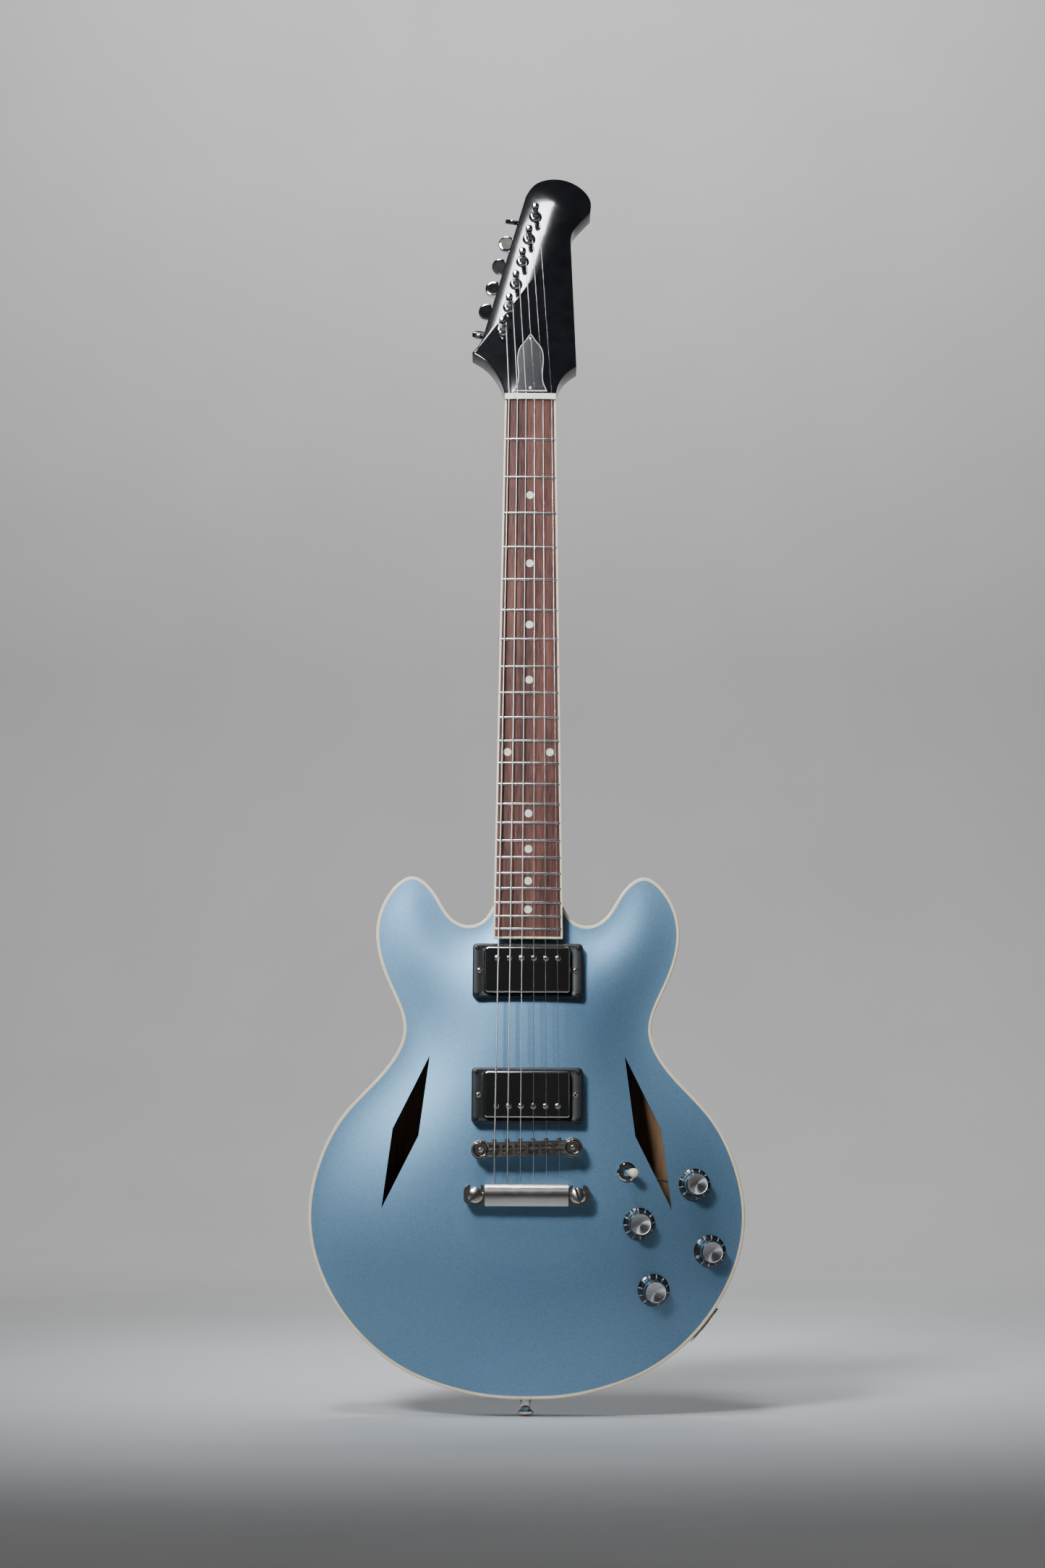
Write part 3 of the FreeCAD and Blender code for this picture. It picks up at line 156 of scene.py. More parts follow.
def spline(points, count):
    """Points along the natural cubic spline through the given ones, spaced by chord length."""
    p = np.array(points, float)
    knots = np.concatenate([[0], np.cumsum(np.linalg.norm(np.diff(p, axis=0), axis=1))])
    n = len(p)
    h = np.diff(knots)
    system = np.zeros((n, n))
    right = np.zeros((n, p.shape[1]))
    system[0, 0] = system[-1, -1] = 1
    for i in range(1, n - 1):
        system[i, i - 1:i + 2] = h[i - 1], 2 * (h[i - 1] + h[i]), h[i]
        right[i] = 6 * ((p[i + 1] - p[i]) / h[i] - (p[i] - p[i - 1]) / h[i - 1])
    bend = np.linalg.solve(system, right)
    t = np.linspace(0, knots[-1], count)
    k = np.clip(np.searchsorted(knots, t, side="right") - 1, 0, n - 2)
    a = ((knots[k + 1] - t) / h[k])[:, None]
    b = ((t - knots[k]) / h[k])[:, None]
    scale = (h[k] ** 2 / 6)[:, None]
    return a * p[k] + b * p[k + 1] + ((a ** 3 - a) * bend[k] + (b ** 3 - b) * bend[k + 1]) * scale


OUTLINE_COUNT = 1000
OUTLINE = spline([(-x, z) for x, z in reversed(HALF_OUTLINE)] + [(0, 0)] + HALF_OUTLINE, OUTLINE_COUNT)


def inward_normals(points):
    """Unit normals that point into the body, for an outline that starts at the bass neck joint."""
    along = np.gradient(points, axis=0)
    along /= np.linalg.norm(along, axis=1)[:, None]
    return np.stack([-along[:, 1], along[:, 0]], axis=1)


INWARD = inward_normals(OUTLINE)
SEGMENT_MIDDLES = (OUTLINE[1:] + OUTLINE[:-1]) / 2
SEGMENT_LENGTHS = np.linalg.norm(np.diff(OUTLINE, axis=0), axis=1)


def arch(places):
    """How far up the arch each (x, z) place is, from 0 at the edge to 1 on the crown."""
    places = np.atleast_2d(np.array(places, float))
    away = np.linalg.norm(places[:, None, :] - SEGMENT_MIDDLES[None], axis=2).clip(0.5)
    pull = (SEGMENT_LENGTHS / away ** 3).sum(axis=1)
    t = np.minimum(1.0, np.sqrt(2 / pull) / ARCH_RUN)
    return t * t * (3 - 2 * t)


def top_y(x, z):
    """Depth of the top's outer face at one place."""
    return FRONT - TOP_ARCH * float(arch([(x, z)])[0])


def top_frame(x, z):
    """A frame standing on the top, with y along the face's inward normal."""
    step = 3.0
    dx = (top_y(x + step, z) - top_y(x - step, z)) / (2 * step)
    dz = (top_y(x, z + step) - top_y(x, z - step)) / (2 * step)
    inward = Vector((-dx, 1, -dz)).normalized()
    facing = Vector((0, 1, 0)).rotation_difference(inward).to_matrix().to_4x4()
    return move(x, top_y(x, z), z) @ facing


# ---------------------------------------------------------------- strings

def string_route(index):
    """Where one string runs: ball end, bar, bend behind the saddle, nut, post."""
    side = index - 2.5
    x_saddle, x_nut = side * SADDLE_SPACING, side * NUT_SPACING
    crown = BOARD_RADIUS - math.sqrt(BOARD_RADIUS ** 2 - x_saddle ** 2)
    nut_crown = BOARD_RADIUS - math.sqrt(BOARD_RADIUS ** 2 - x_nut ** 2)
    nut = Vector((x_nut, nut_crown - NUT_HEIGHT, BOARD_LENGTH))
    saddle_z = BOARD_LENGTH - SCALE_LENGTH - SADDLE_COMPENSATION[index]
    saddle = Vector((x_saddle, crown - NUT_HEIGHT - STRING_RISE, saddle_z))
    past = saddle + (saddle - nut).normalized() * (SADDLE_TRAVEL + 0.6)
    leave = NECK @ Vector((x_nut, nut.y + 0.5, BOARD_LENGTH + NUT_THICK))
    reach = POST_RADIUS - 0.4 + STRING_RADII[index]
    post = tuner_frame(index) @ Vector((reach, WRAP_Y, -1))
    ball_y = top_y(x_saddle, TAIL_Z) - 9.5
    return {
        "ball": Vector((x_saddle, ball_y, TAIL_Z - 6.5)),
        "bar": Vector((x_saddle, ball_y, TAIL_Z + 7.5)),
        "bend": NECK @ past, "crest": NECK @ saddle, "nut": NECK @ nut, "leave": leave, "post": post,
    }


def string_plane_y(z):
    """Depth of the strings at a height on the body, between the two middle strings."""
    start, end = [(string_route(2)[k] + string_route(3)[k]) / 2 for k in ("crest", "nut")]
    return start.y + (end.y - start.y) * (z - start.z) / (end.z - start.z)


def pickup_frame(z):
    """A pickup's frame: y = 0 is the face of its cover, parallel to the strings."""
    return move(0, string_plane_y(z) + COVER_TO_STRING, z) @ turn(-NECK_ANGLE, "X")


# ---------------------------------------------------------------- materials

def shader(name):
    """A new node material, with its tree, its Principled shader and its object coordinates."""
    material = bpy.data.materials.new(name)
    material.use_nodes = True
    tree = material.node_tree
    principled = tree.nodes["Principled BSDF"]
    place = tree.nodes.new("ShaderNodeTexCoord").outputs["Object"]
    return material, tree, principled, place


def node(tree, kind, inputs=(), **settings):
    """A new node with its settings, and its inputs set or linked by name."""
    made = tree.nodes.new(kind)
    for key, value in settings.items():
        setattr(made, key, value)
    for key, value in dict(inputs).items():
        if isinstance(value, bpy.types.NodeSocket):
            tree.links.new(value, made.inputs[key])
        else:
            made.inputs[key].default_value = value
    return made


def constants(principled, **values):
    """Plain numbers set on the shader's own sockets."""
    for key, value in values.items():
        principled.inputs[key.replace("_", " ")].default_value = value


def ramp(tree, factor, low, high, start=0.3, end=0.7):
    """A soft mix of two colours between two values of the factor."""
    made = node(tree, "ShaderNodeValToRGB", {"Fac": factor})
    first, last = made.color_ramp.elements
    first.position, last.position = start, end
    first.color, last.color = (*low, 1), (*high, 1)
    return made.outputs["Color"]


def noise(tree, place, scale, detail=2.0, stretch=(1, 1, 1)):
    """Noise over the object's own coordinates, in cells per metre, stretched along an axis."""
    mapped = node(tree, "ShaderNodeMapping", {"Vector": place, "Scale": stretch}).outputs["Vector"]
    made = node(tree, "ShaderNodeTexNoise", {"Vector": mapped, "Scale": scale, "Detail": detail})
    return made.outputs["Fac"]


def bump(tree, principled, height, strength, distance):
    """Relief from a height, in metres."""
    made = node(tree, "ShaderNodeBump", {"Height": height, "Strength": strength, "Distance": distance})
    tree.links.new(made.outputs["Normal"], principled.inputs["Normal"])


def plastic(name, low, high, roughness=0.35, coat=0.0, scale=60.0):
    """A solid-coloured plastic or lacquer with a slight mottle and uneven gloss."""
    material, tree, principled, place = shader(name)
    cloud = noise(tree, place, scale)
    tree.links.new(ramp(tree, cloud, low, high), principled.inputs["Base Color"])
    gloss = node(tree, "ShaderNodeMapRange", {"Value": noise(tree, place, scale * 4),
                                              "To Min": roughness * 0.85, "To Max": roughness * 1.2})
    tree.links.new(gloss.outputs["Result"], principled.inputs["Roughness"])
    constants(principled, Coat_Weight=coat, Coat_Roughness=0.06)
    return material


def metal(name, low, high, roughness=0.15, scale=40.0, spread=0.4):
    """Plated or bare metal with cloudy tarnish in its colour and its gloss."""
    material, tree, principled, place = shader(name)
    cloud = noise(tree, place, scale, 4.0)
    tree.links.new(ramp(tree, cloud, low, high), principled.inputs["Base Color"])
    gloss = node(tree, "ShaderNodeMapRange", {"Value": noise(tree, place, scale * 6, 3.0),
                                              "To Min": roughness * (1 - spread),
                                              "To Max": roughness * (1 + spread)})
    tree.links.new(gloss.outputs["Result"], principled.inputs["Roughness"])
    constants(principled, Metallic=1.0)
    return material


def lacquer():
    """Metallic blue under clear coat: fine flakes that tilt a little every way."""
    material, tree, principled, place = shader("metallic_blue")
    flakes = node(tree, "ShaderNodeTexVoronoi", {"Vector": place, "Scale": 3200.0})
    sparkle = ramp(tree, flakes.outputs["Color"], (0.155, 0.30, 0.46), (0.27, 0.47, 0.66), 0.1, 0.9)
    haze = ramp(tree, noise(tree, place, 14.0), (0.93, 0.95, 0.97), (1, 1, 1))
    colour = node(tree, "ShaderNodeMix", {6: sparkle, 7: haze, 0: 1.0}, data_type="RGBA",
                  blend_type="MULTIPLY")
    tree.links.new(colour.outputs[2], principled.inputs["Base Color"])
    bump(tree, principled, flakes.outputs["Color"], 0.25, 0.00006)
    constants(principled, Metallic=0.9, Roughness=0.42, Coat_Weight=0.8, Coat_Roughness=0.07,
              Coat_IOR=1.5)
    return material


def wood(name, dark, light, grain=(420.0, 420.0, 26.0), roughness=0.5, shine=0.5):
    """Wood with streaks along z and short pores."""
    material, tree, principled, place = shader(name)
    streaks = noise(tree, place, 1.0, 5.0, grain)
    bands = noise(tree, place, 1.0, 2.0, (90.0, 90.0, 4.0))
    mixed = node(tree, "ShaderNodeMath", {0: streaks, 1: bands}, operation="ADD").outputs["Value"]
    half = node(tree, "ShaderNodeMath", {0: mixed, 1: 0.5}, operation="MULTIPLY").outputs["Value"]
    tree.links.new(ramp(tree, half, dark, light, 0.36, 0.64), principled.inputs["Base Color"])
    bump(tree, principled, streaks, 0.25, 0.0001)
    constants(principled, Roughness=roughness, Specular_IOR_Level=shine)
    return material


def winding(name):
    """Nickel-wound string: close turns across the string, with painted shade in the colour between the
    turns.
    """
    material, tree, principled, place = shader(name)
    turns = node(tree, "ShaderNodeTexWave", {"Vector": place, "Scale": 700.0, "Distortion": 0.0},
                 bands_direction="Z").outputs["Fac"]
    # Painted shade: the colour darkens in the grooves between the turns.
    tree.links.new(ramp(tree, turns, (0.38, 0.37, 0.35), (0.72, 0.71, 0.68), 0.2, 0.8),
                   principled.inputs["Base Color"])
    bump(tree, principled, turns, 0.3, 0.00008)
    constants(principled, Metallic=1.0, Roughness=0.32)
    return material


def pearl():
    """Mother-of-pearl with soft coloured clouds."""
    material, tree, principled, place = shader("pearl")
    clouds = noise(tree, place, 500.0, 3.0)
    tree.links.new(ramp(tree, clouds, (0.50, 0.56, 0.47), (0.88, 0.86, 0.74)),
                   principled.inputs["Base Color"])
    constants(principled, Roughness=0.22, Coat_Weight=0.6, Coat_Roughness=0.05)
    return material


FINISH = {
    "lacquered_body": lacquer(),
    "cream_binding": plastic("cream", (0.74, 0.60, 0.40), (0.80, 0.67, 0.48), 0.3, 0.5),
    "bare_wood": wood("maple_inside", (0.20, 0.10, 0.045), (0.34, 0.19, 0.09), roughness=0.75),
    "rosewood": wood("rosewood", (0.034, 0.012, 0.009), (0.150, 0.058, 0.042), (900.0, 900.0, 40.0),
                     0.6, shine=0.22),
    "black_lacquer": plastic("gloss_black", (0.004, 0.004, 0.005), (0.007, 0.007, 0.009), 0.12, 1.0),
    "fret_wire": metal("fret_wire", (0.66, 0.65, 0.62), (0.80, 0.79, 0.76), 0.2),
    "pearl": pearl(),
    "bone": plastic("bone", (0.78, 0.74, 0.64), (0.86, 0.83, 0.74), 0.35, 0.2, 200.0),
    "steel": metal("steel", (0.42, 0.41, 0.40), (0.60, 0.59, 0.57), 0.3),
    "cover_plastic": plastic("cover_black", (0.006, 0.006, 0.007), (0.010, 0.010, 0.011), 0.1, 1.0),
    "string_steel": metal("plain_string", (0.62, 0.62, 0.62), (0.76, 0.76, 0.76), 0.22),
    "tuner_chrome": metal("chrome", (0.74, 0.75, 0.77), (0.82, 0.83, 0.85), 0.06),
    "ring_plastic": plastic("satin_black", (0.010, 0.010, 0.011), (0.016, 0.016, 0.017), 0.38),
    "nickel": metal("mirror_nickel", (0.62, 0.58, 0.53), (0.74, 0.70, 0.65), 0.07),
    "coil": plastic("coil_tape", (0.006, 0.006, 0.006), (0.012, 0.012, 0.012), 0.5),
    "bridge_nickel": metal("aged_nickel", (0.58, 0.53, 0.48), (0.78, 0.73, 0.67), 0.22, 260.0),
    "tail_nickel": metal("satin_nickel", (0.62, 0.58, 0.54), (0.78, 0.74, 0.69), 0.2, 24.0, 0.2),
    "knob_plastic": plastic("knob_black", (0.006, 0.006, 0.007), (0.012, 0.012, 0.013), 0.16, 0.6),
    "switch_metal": metal("switch_nickel", (0.56, 0.52, 0.47), (0.70, 0.66, 0.61), 0.2),
    "plate_metal": metal("plate_chrome", (0.64, 0.62, 0.60), (0.76, 0.74, 0.72), 0.12),
    "wire_cover": plastic("wire_cover", (0.015, 0.014, 0.013), (0.03, 0.028, 0.026), 0.6),
}
WHITE_PRINT = plastic("white_print", (0.78, 0.78, 0.76), (0.86, 0.86, 0.84), 0.5)
CREAM_TIP = plastic("cream_tip", (0.78, 0.64, 0.44), (0.84, 0.72, 0.54), 0.25, 0.4)
WOUND = winding("wound_string")
SLOT_OF = {p["node"]: p["material_slot"] for p in frame["record"]["subparts"]}
BODY_OF = {n: b for b, names in frame["record"]["behaviour"]["bodies"].items() for n in names}


# ---------------------------------------------------------------- pieces

def piece(name, verts, faces, node_name, place=HERE, material=None, normals=None, sharp=35.0,
          replaces=True):
    """A mesh in millimetres that rides on a CAD node's body, stands for it and takes its slot."""
    mesh = bpy.data.meshes.new(name)
    mesh.from_pydata([(place @ Vector(v)) * MM for v in verts], [], [tuple(f) for f in faces])
    mesh.validate()
    mesh.update()
    obj = bpy.data.objects.new(name, mesh)
    bpy.context.scene.collection.objects.link(obj)
    finish_piece(obj, node_name, material, sharp, replaces)
    if normals is not None:
        mesh.normals_split_custom_set_from_vertices(normals)
    return obj


def finish_piece(obj, node_name, material=None, sharp=35.0, replaces=True):
    """Smooth shading, the slot's material, and the CAD body that the piece rides on."""
    mesh = obj.data
    mesh.shade_smooth()
    mesh.set_sharp_from_angle(angle=math.radians(sharp))
    mesh.materials.clear()
    mesh.materials.append(material or FINISH[SLOT_OF[node_name]])
    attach(obj, BODY_OF[node_name])
    if replaces:
        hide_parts(node_name)


def bevelled(obj, width):
    """Rounds the piece's sharp edges, in millimetres."""
    bevel = obj.modifiers.new("edges", "BEVEL")
    bevel.width = width * MM
    bevel.segments = 2
    bevel.limit_method = "ANGLE"
    bevel.angle_limit = math.radians(30.0)
    bevel.harden_normals = True


def refined(node_name, width=0.0):
    """The CAD node's own shape with its facets merged and its edges rounded."""
    mesh = bpy.data.meshes.new(node_name + "_look")
    work = bmesh.new()
    work.from_mesh(frame["nodes"][node_name].data)
    bmesh.ops.remove_doubles(work, verts=work.verts, dist=2e-6)
    bmesh.ops.dissolve_limit(work, angle_limit=math.radians(0.6), verts=work.verts, edges=work.edges)
    work.to_mesh(mesh)
    work.free()
    obj = bpy.data.objects.new(node_name + "_look", mesh)
    bpy.context.scene.collection.objects.link(obj)
    finish_piece(obj, node_name)
    if width:
        bevelled(obj, width)


def ring_faces(rings, count, closed_ring=True):
    """Quads between rows of the same number of points."""
    faces = []
    for r in range(rings - 1):
        for k in range(count if closed_ring else count - 1):
            a, b = r * count + k, r * count + (k + 1) % count
            faces.append((a, b, b + count, a + count))
    return faces


def rounded(profile, radius=0.4, steps=4):
    """The profile with each inner corner turned into a small arc."""
    made = [profile[0]]
    for before, corner, after in zip(profile, profile[1:], profile[2:]):
        a, c, b = (Vector(p) for p in (before, corner, after))
        reach = min(radius, (a - c).length * 0.45, (b - c).length * 0.45)
        start, end = c + (a - c).normalized() * reach, c + (b - c).normalized() * reach
        for k in range(steps + 1):
            t = k / steps
            made.append(tuple(start * (1 - t) ** 2 + c * 2 * t * (1 - t) + end * t ** 2))
    made.append(profile[-1])
    return made


def tube(points, radius, sides=16):
    """Vertices and faces of a round tube through the points, with flat ends."""
    verts = []
    points = [Vector(p) for p in points]
    side = None
    for i, p in enumerate(points):
        ahead = (points[min(i + 1, len(points) - 1)] - points[max(i - 1, 0)]).normalized()
        if side is None:
            side = ahead.orthogonal().normalized()
        side = (side - ahead * side.dot(ahead)).normalized()
        other = ahead.cross(side)
        for k in range(sides):
            angle = 2 * math.pi * k / sides
            verts.append(tuple(p + (side * math.cos(angle) + other * math.sin(angle)) * radius))
    faces = ring_faces(len(points), sides)
    faces.append(tuple(reversed(range(sides))))
    faces.append(tuple(range(len(verts) - sides, len(verts))))
    return verts, faces


def merged(parts):
    """One list of vertices and faces from several."""
    verts, faces = [], []
    for some_verts, some_faces in parts:
        start = len(verts)
        verts += list(some_verts)
        faces += [tuple(i + start for i in f) for f in some_faces]
    return verts, faces


# ---------------------------------------------------------------- body

def inside_outline(places, margin):
    """Which places are inside the body's outline by more than the margin."""
    x, z = places[:, 0], places[:, 1]
    closed = np.vstack([OUTLINE, OUTLINE[:1]])
    crossings = np.zeros(len(places), int)
    for (x0, z0), (x1, z1) in zip(closed, closed[1:]):
        spans = (z0 > z) != (z1 > z)
        if z1 != z0:
            crossings += spans & (x < x0 + (z - z0) * (x1 - x0) / (z1 - z0))
    away = np.linalg.norm(places[:, None, :] - SEGMENT_MIDDLES[None], axis=2).min(axis=1)
    return (crossings % 2 == 1) & (away > margin)


def diamond(side, points_each=26):
    """The sound hole's edge on one side, with points along its four straight sides."""
    corners = [np.array((side * x, z)) for x, z in SOUND_HOLE]
    edge = []
    for a, b in zip(corners, corners[1:] + corners[:1]):
        edge += [a + (b - a) * k / points_each for k in range(points_each)]
    return np.array(edge)


def inside_diamond(places, side, margin):
    """Which places are within the sound hole, or nearer to it than the margin."""
    corners = [np.array((side * x, z)) for x, z in SOUND_HOLE]
    centre = sum(corners) / 4
    within = np.ones(len(places), bool)
    for a, b in zip(corners, corners[1:] + corners[:1]):
        out = np.array((b[1] - a[1], a[0] - b[0]))
        out = out / np.linalg.norm(out)
        out = out if np.dot(a - centre, out) > 0 else -out
        within &= (places - a) @ out < margin
    return within


def plate(name, side, height, holes):
    """The arched top (side -1) or back (side +1): a fine mesh whose normals follow the arch exactly."""
    step = 3.0
    edge = OUTLINE[::2] + INWARD[::2] * BINDING
    grid = np.array([(x, z) for x in np.arange(-180, 180, step) for z in np.arange(-6, 426, step)])
    grid = grid[inside_outline(grid, BINDING + step * 0.6)]
    rings = [diamond(-1), diamond(1)] if holes else []
    for sign in (-1, 1) if holes else ():
        grid = grid[~inside_diamond(grid, sign, step * 0.5)]
    loops = [edge] + rings
    points = np.vstack(loops + [grid])
    edges, start = [], 0
    for loop in loops:
        edges += [(start + k, start + (k + 1) % len(loop)) for k in range(len(loop))]
        start += len(loop)
    made = delaunay_2d_cdt([Vector(p) for p in points], edges, [], 1, 1e-4)
    flat = np.array([tuple(v) for v in made[0]])
    rise = arch(flat)
    delta = 0.75
    slope_x = (arch(flat + (delta, 0)) - arch(flat - (delta, 0))) / (2 * delta) * height
    slope_z = (arch(flat + (0, delta)) - arch(flat - (0, delta))) / (2 * delta) * height
    normals = np.stack([-slope_x, np.full(len(flat), float(side)), -slope_z], axis=1)
    normals /= np.linalg.norm(normals, axis=1)[:, None]
    verts = [(x, side * (RIM_DEPTH / 2 + height * r), z) for (x, z), r in zip(flat, rise)]
    faces = []
    for face in made[2]:
        middle = np.mean([flat[i] for i in face], axis=0)[None]
        if holes and (inside_diamond(middle, -1, 0)[0] or inside_diamond(middle, 1, 0)[0]):
            continue
        faces.append(tuple(face) if side < 0 else tuple(reversed(face)))
    piece(name + "_skin", verts, faces, name, normals=[tuple(n) for n in normals], sharp=180.0)


def hole_walls(side):
    """Cut edge of a sound hole, from the face of the top to the back of the plate."""
    edge = diamond(side)
    rise = arch(edge)
    front = [(x, FRONT - TOP_ARCH * r, z) for (x, z), r in zip(edge, rise)]
    behind = [(x, y + PLATE, z) for x, y, z in front]
    return front + behind, ring_faces(2, len(edge))


def sweep_edge(section):
    """The body's edge as a strip: each section point is (inset, y)."""
    verts = []
    for inset, y in section:
        line = OUTLINE + INWARD * inset
        verts += [(x, y, z) for x, z in line]
    return verts, ring_faces(len(section), len(OUTLINE), closed_ring=False)


def quarter(inset_end, y_face, side, radius=1.1, steps=5):
    """Section of a rounded outer corner from the flat face round to the side."""
    made = []
    for k in range(steps + 1):
        angle = math.pi / 2 * k / steps
        inset, drop = radius * (1 - math.sin(angle)), radius * (1 - math.cos(angle))
        made.append((inset, y_face - side * drop))
    return [(inset_end, y_face)] + made


def build_body():
    """Top, back, sides and bindings, with the inner faces that the sound holes show."""
    plate("body_top", -1, TOP_ARCH, True)
    plate("body_back", 1, BACK_ARCH, False)
    for sign, word in ((-1, "bass"), (1, "treble")):
        verts, faces = hole_walls(sign)
        piece(f"sound_hole_edge_{word}", verts, faces, "body_top", replaces=False, sharp=30.0)
    front = quarter(BINDING, FRONT, -1) + [(0, FRONT + PLATE)]
    back = quarter(BINDING, BACK, 1) + [(0, BACK - PLATE)]
    verts, faces = merged([sweep_edge(front), sweep_edge(back)])
    piece("binding_strips", verts, faces, "body_bindings", sharp=50.0)
    verts, faces = sweep_edge([(0.0, FRONT + PLATE), (0.0, 0.0), (0.0, BACK - PLATE)])
    piece("bent_sides", verts, faces, "rim", sharp=50.0)
    verts, faces = sweep_edge([(RIM_WALL, FRONT + PLATE), (RIM_WALL, BACK - PLATE)])
    piece("inner_sides", verts, faces, "rim", material=FINISH["bare_wood"], replaces=False)
    inner_back()


def inner_back():
    """The inner face of the back, seen through the sound holes."""
    step = 9.0
    heights = np.arange(6, 415, step)
    grid = [(x, z) for x in np.arange(-171, 172, step) for z in heights]
    count = len(heights)
    rise = arch(grid)
    keep = inside_outline(np.array(grid, float), 2.0)
    verts = [(x, BACK - PLATE + BACK_ARCH * r, z) for (x, z), r in zip(grid, rise)]
    faces = ring_faces(len(grid) // count, count, closed_ring=False)
    faces = [f for f in faces if all(keep[i] for i in f)]
    piece("inner_back", verts, faces, "body_back", material=FINISH["bare_wood"], replaces=False)


build_body()
for name in ("centre_block", "kerfed_lining"):
    refined(name)

# ---------------------------------------------------------------- shared shapes

def turned(profile, segments=48, place=HERE):
    """Vertices and faces of a shape turned about the y axis from (radius, y) points."""
    verts = []
    for r, y in profile:
        for k in range(segments):
            angle = 2 * math.pi * k / segments
            r = max(r, 0.001)
            verts.append(place @ Vector((r * math.cos(angle), y, r * math.sin(angle))))
    return verts, ring_faces(len(profile), segments)


def moved(part, place):
    """The same vertices and faces in another frame."""
    verts, faces = part
    return [place @ Vector(v) for v in verts], faces


def round_rectangle(width, height, corner, steps=7):
    """Points (x, z) round a rectangle with round corners."""
    points = []
    for k, (sx, sz) in enumerate(((1, 1), (-1, 1), (-1, -1), (1, -1))):
        cx, cz = sx * (width / 2 - corner), sz * (height / 2 - corner)
        for j in range(steps + 1):
            angle = math.pi / 2 * (k + j / steps)
            points.append((cx + corner * math.cos(angle), cz + corner * math.sin(angle)))
    return points


def pressed(width, height, corner, edge, y0, y1, steps=6):
    """A rounded slab whose front edge at y0 rolls over with a radius, open at y1."""
    rows = [(0.0, y1), (0.0, y0 + edge)]
    for k in range(1, steps + 1):
        angle = math.pi / 2 * k / steps
        rows.append((edge * (1 - math.cos(angle)), y0 + edge * (1 - math.sin(angle))))
    verts = []
    for inset, y in rows:
        ring = round_rectangle(width - 2 * inset, height - 2 * inset, max(corner - inset, 0.2))
        verts += [(x, y, z) for x, z in ring]
    count = len(verts) // len(rows)
    faces = ring_faces(len(rows), count)
    faces.append(tuple(range(len(verts) - count, len(verts))))
    return verts, faces


def screw_head(radius, height, slot_width, cross=False):
    """Domed head on y = 0 with a slot or a cross sunk into it."""
    verts, steps, rows = [], 28, 12
    for r in range(rows + 1):
        for k in range(steps):
            rho, angle = radius * r / rows, 2 * math.pi * k / steps
            x, z = rho * math.cos(angle), rho * math.sin(angle)
            y = -height * (1 - 0.35 * (r / rows) ** 2 - 0.65 * (r / rows) ** 8)
            in_slot = abs(z) < slot_width / 2 or (cross and abs(x) < slot_width / 2)
            if in_slot and (rho < radius * 0.62 or not cross):
                y = min(y + 0.55, 0)
            verts.append((x, y, z))
    verts += [(x, 0.2, z) for x, _, z in verts[-steps:]]
    return verts, ring_faces(rows + 2, steps)


# ---------------------------------------------------------------- knobs and switch

def spun(name):
    """Spun aluminium disc: gloss stretched round its own axis."""
    material, tree, principled, place = shader(name)
    across = node(tree, "ShaderNodeSeparateXYZ", {"Vector": place})
    square_x = node(tree, "ShaderNodeMath", {0: across.outputs["X"], 1: 2.0}, operation="POWER")
    square_z = node(tree, "ShaderNodeMath", {0: across.outputs["Z"], 1: 2.0}, operation="POWER")
    total = node(tree, "ShaderNodeMath", {0: square_x.outputs[0], 1: square_z.outputs[0]},
                 operation="ADD")
    radius = node(tree, "ShaderNodeMath", {0: total.outputs[0], 1: 0.5}, operation="POWER").outputs[0]
    ring = node(tree, "ShaderNodeTexNoise", {"W": radius, "Scale": 6000.0, "Detail": 2.0},
                noise_dimensions="1D")
    tree.links.new(ramp(tree, ring.outputs["Fac"], (0.56, 0.56, 0.57), (0.78, 0.78, 0.79)),
                   principled.inputs["Base Color"])
    tangent = node(tree, "ShaderNodeTangent", direction_type="RADIAL", axis="Y")
    tree.links.new(tangent.outputs["Tangent"], principled.inputs["Tangent"])
    constants(principled, Metallic=1.0, Roughness=0.3, Anisotropic=0.85)
    return material


SPUN = spun("spun_cap")
SKIRT_PROFILE = [(0, -KNOB_HEIGHT), (8.6, -KNOB_HEIGHT), (9.1, -KNOB_HEIGHT + 0.8), (9.9, -5.2),
                 (11.2, -2.7), (12.95, -1.7), (12.95, -0.6), (10.4, -0.6)]
DIGIT_RADIUS = 12.1
DIGIT_HEIGHT = 1.9
TICK_RADII = (12.35, 12.85)
TICK_HALF_WIDTH = 0.15
KNOB_SWEEP = 300.0


def skirt_y(radius):
    """Height of the skirt's face at a radius, just above its surface."""
    slope = SKIRT_PROFILE[3:6]
    return float(np.interp(radius, [r for r, _ in slope], [y for _, y in slope])) - 0.1


def digit_mesh(text, height):
    """Flat vertices and faces of a number, centred, as tall as asked."""
    curve = bpy.data.curves.new("digit", "FONT")
    curve.body = text
    curve.align_x = "CENTER"
    curve.size = height / 0.7
    curve.resolution_u = 3
    obj = bpy.data.objects.new("digit", curve)
    mesh = bpy.data.meshes.new_from_object(obj)
    verts = [(v.co.x, v.co.y) for v in mesh.vertices]
    faces = [tuple(p.vertices) for p in mesh.polygons]
    bpy.data.objects.remove(obj)
    bpy.data.curves.remove(curve)
    bpy.data.meshes.remove(mesh)
    return verts, faces


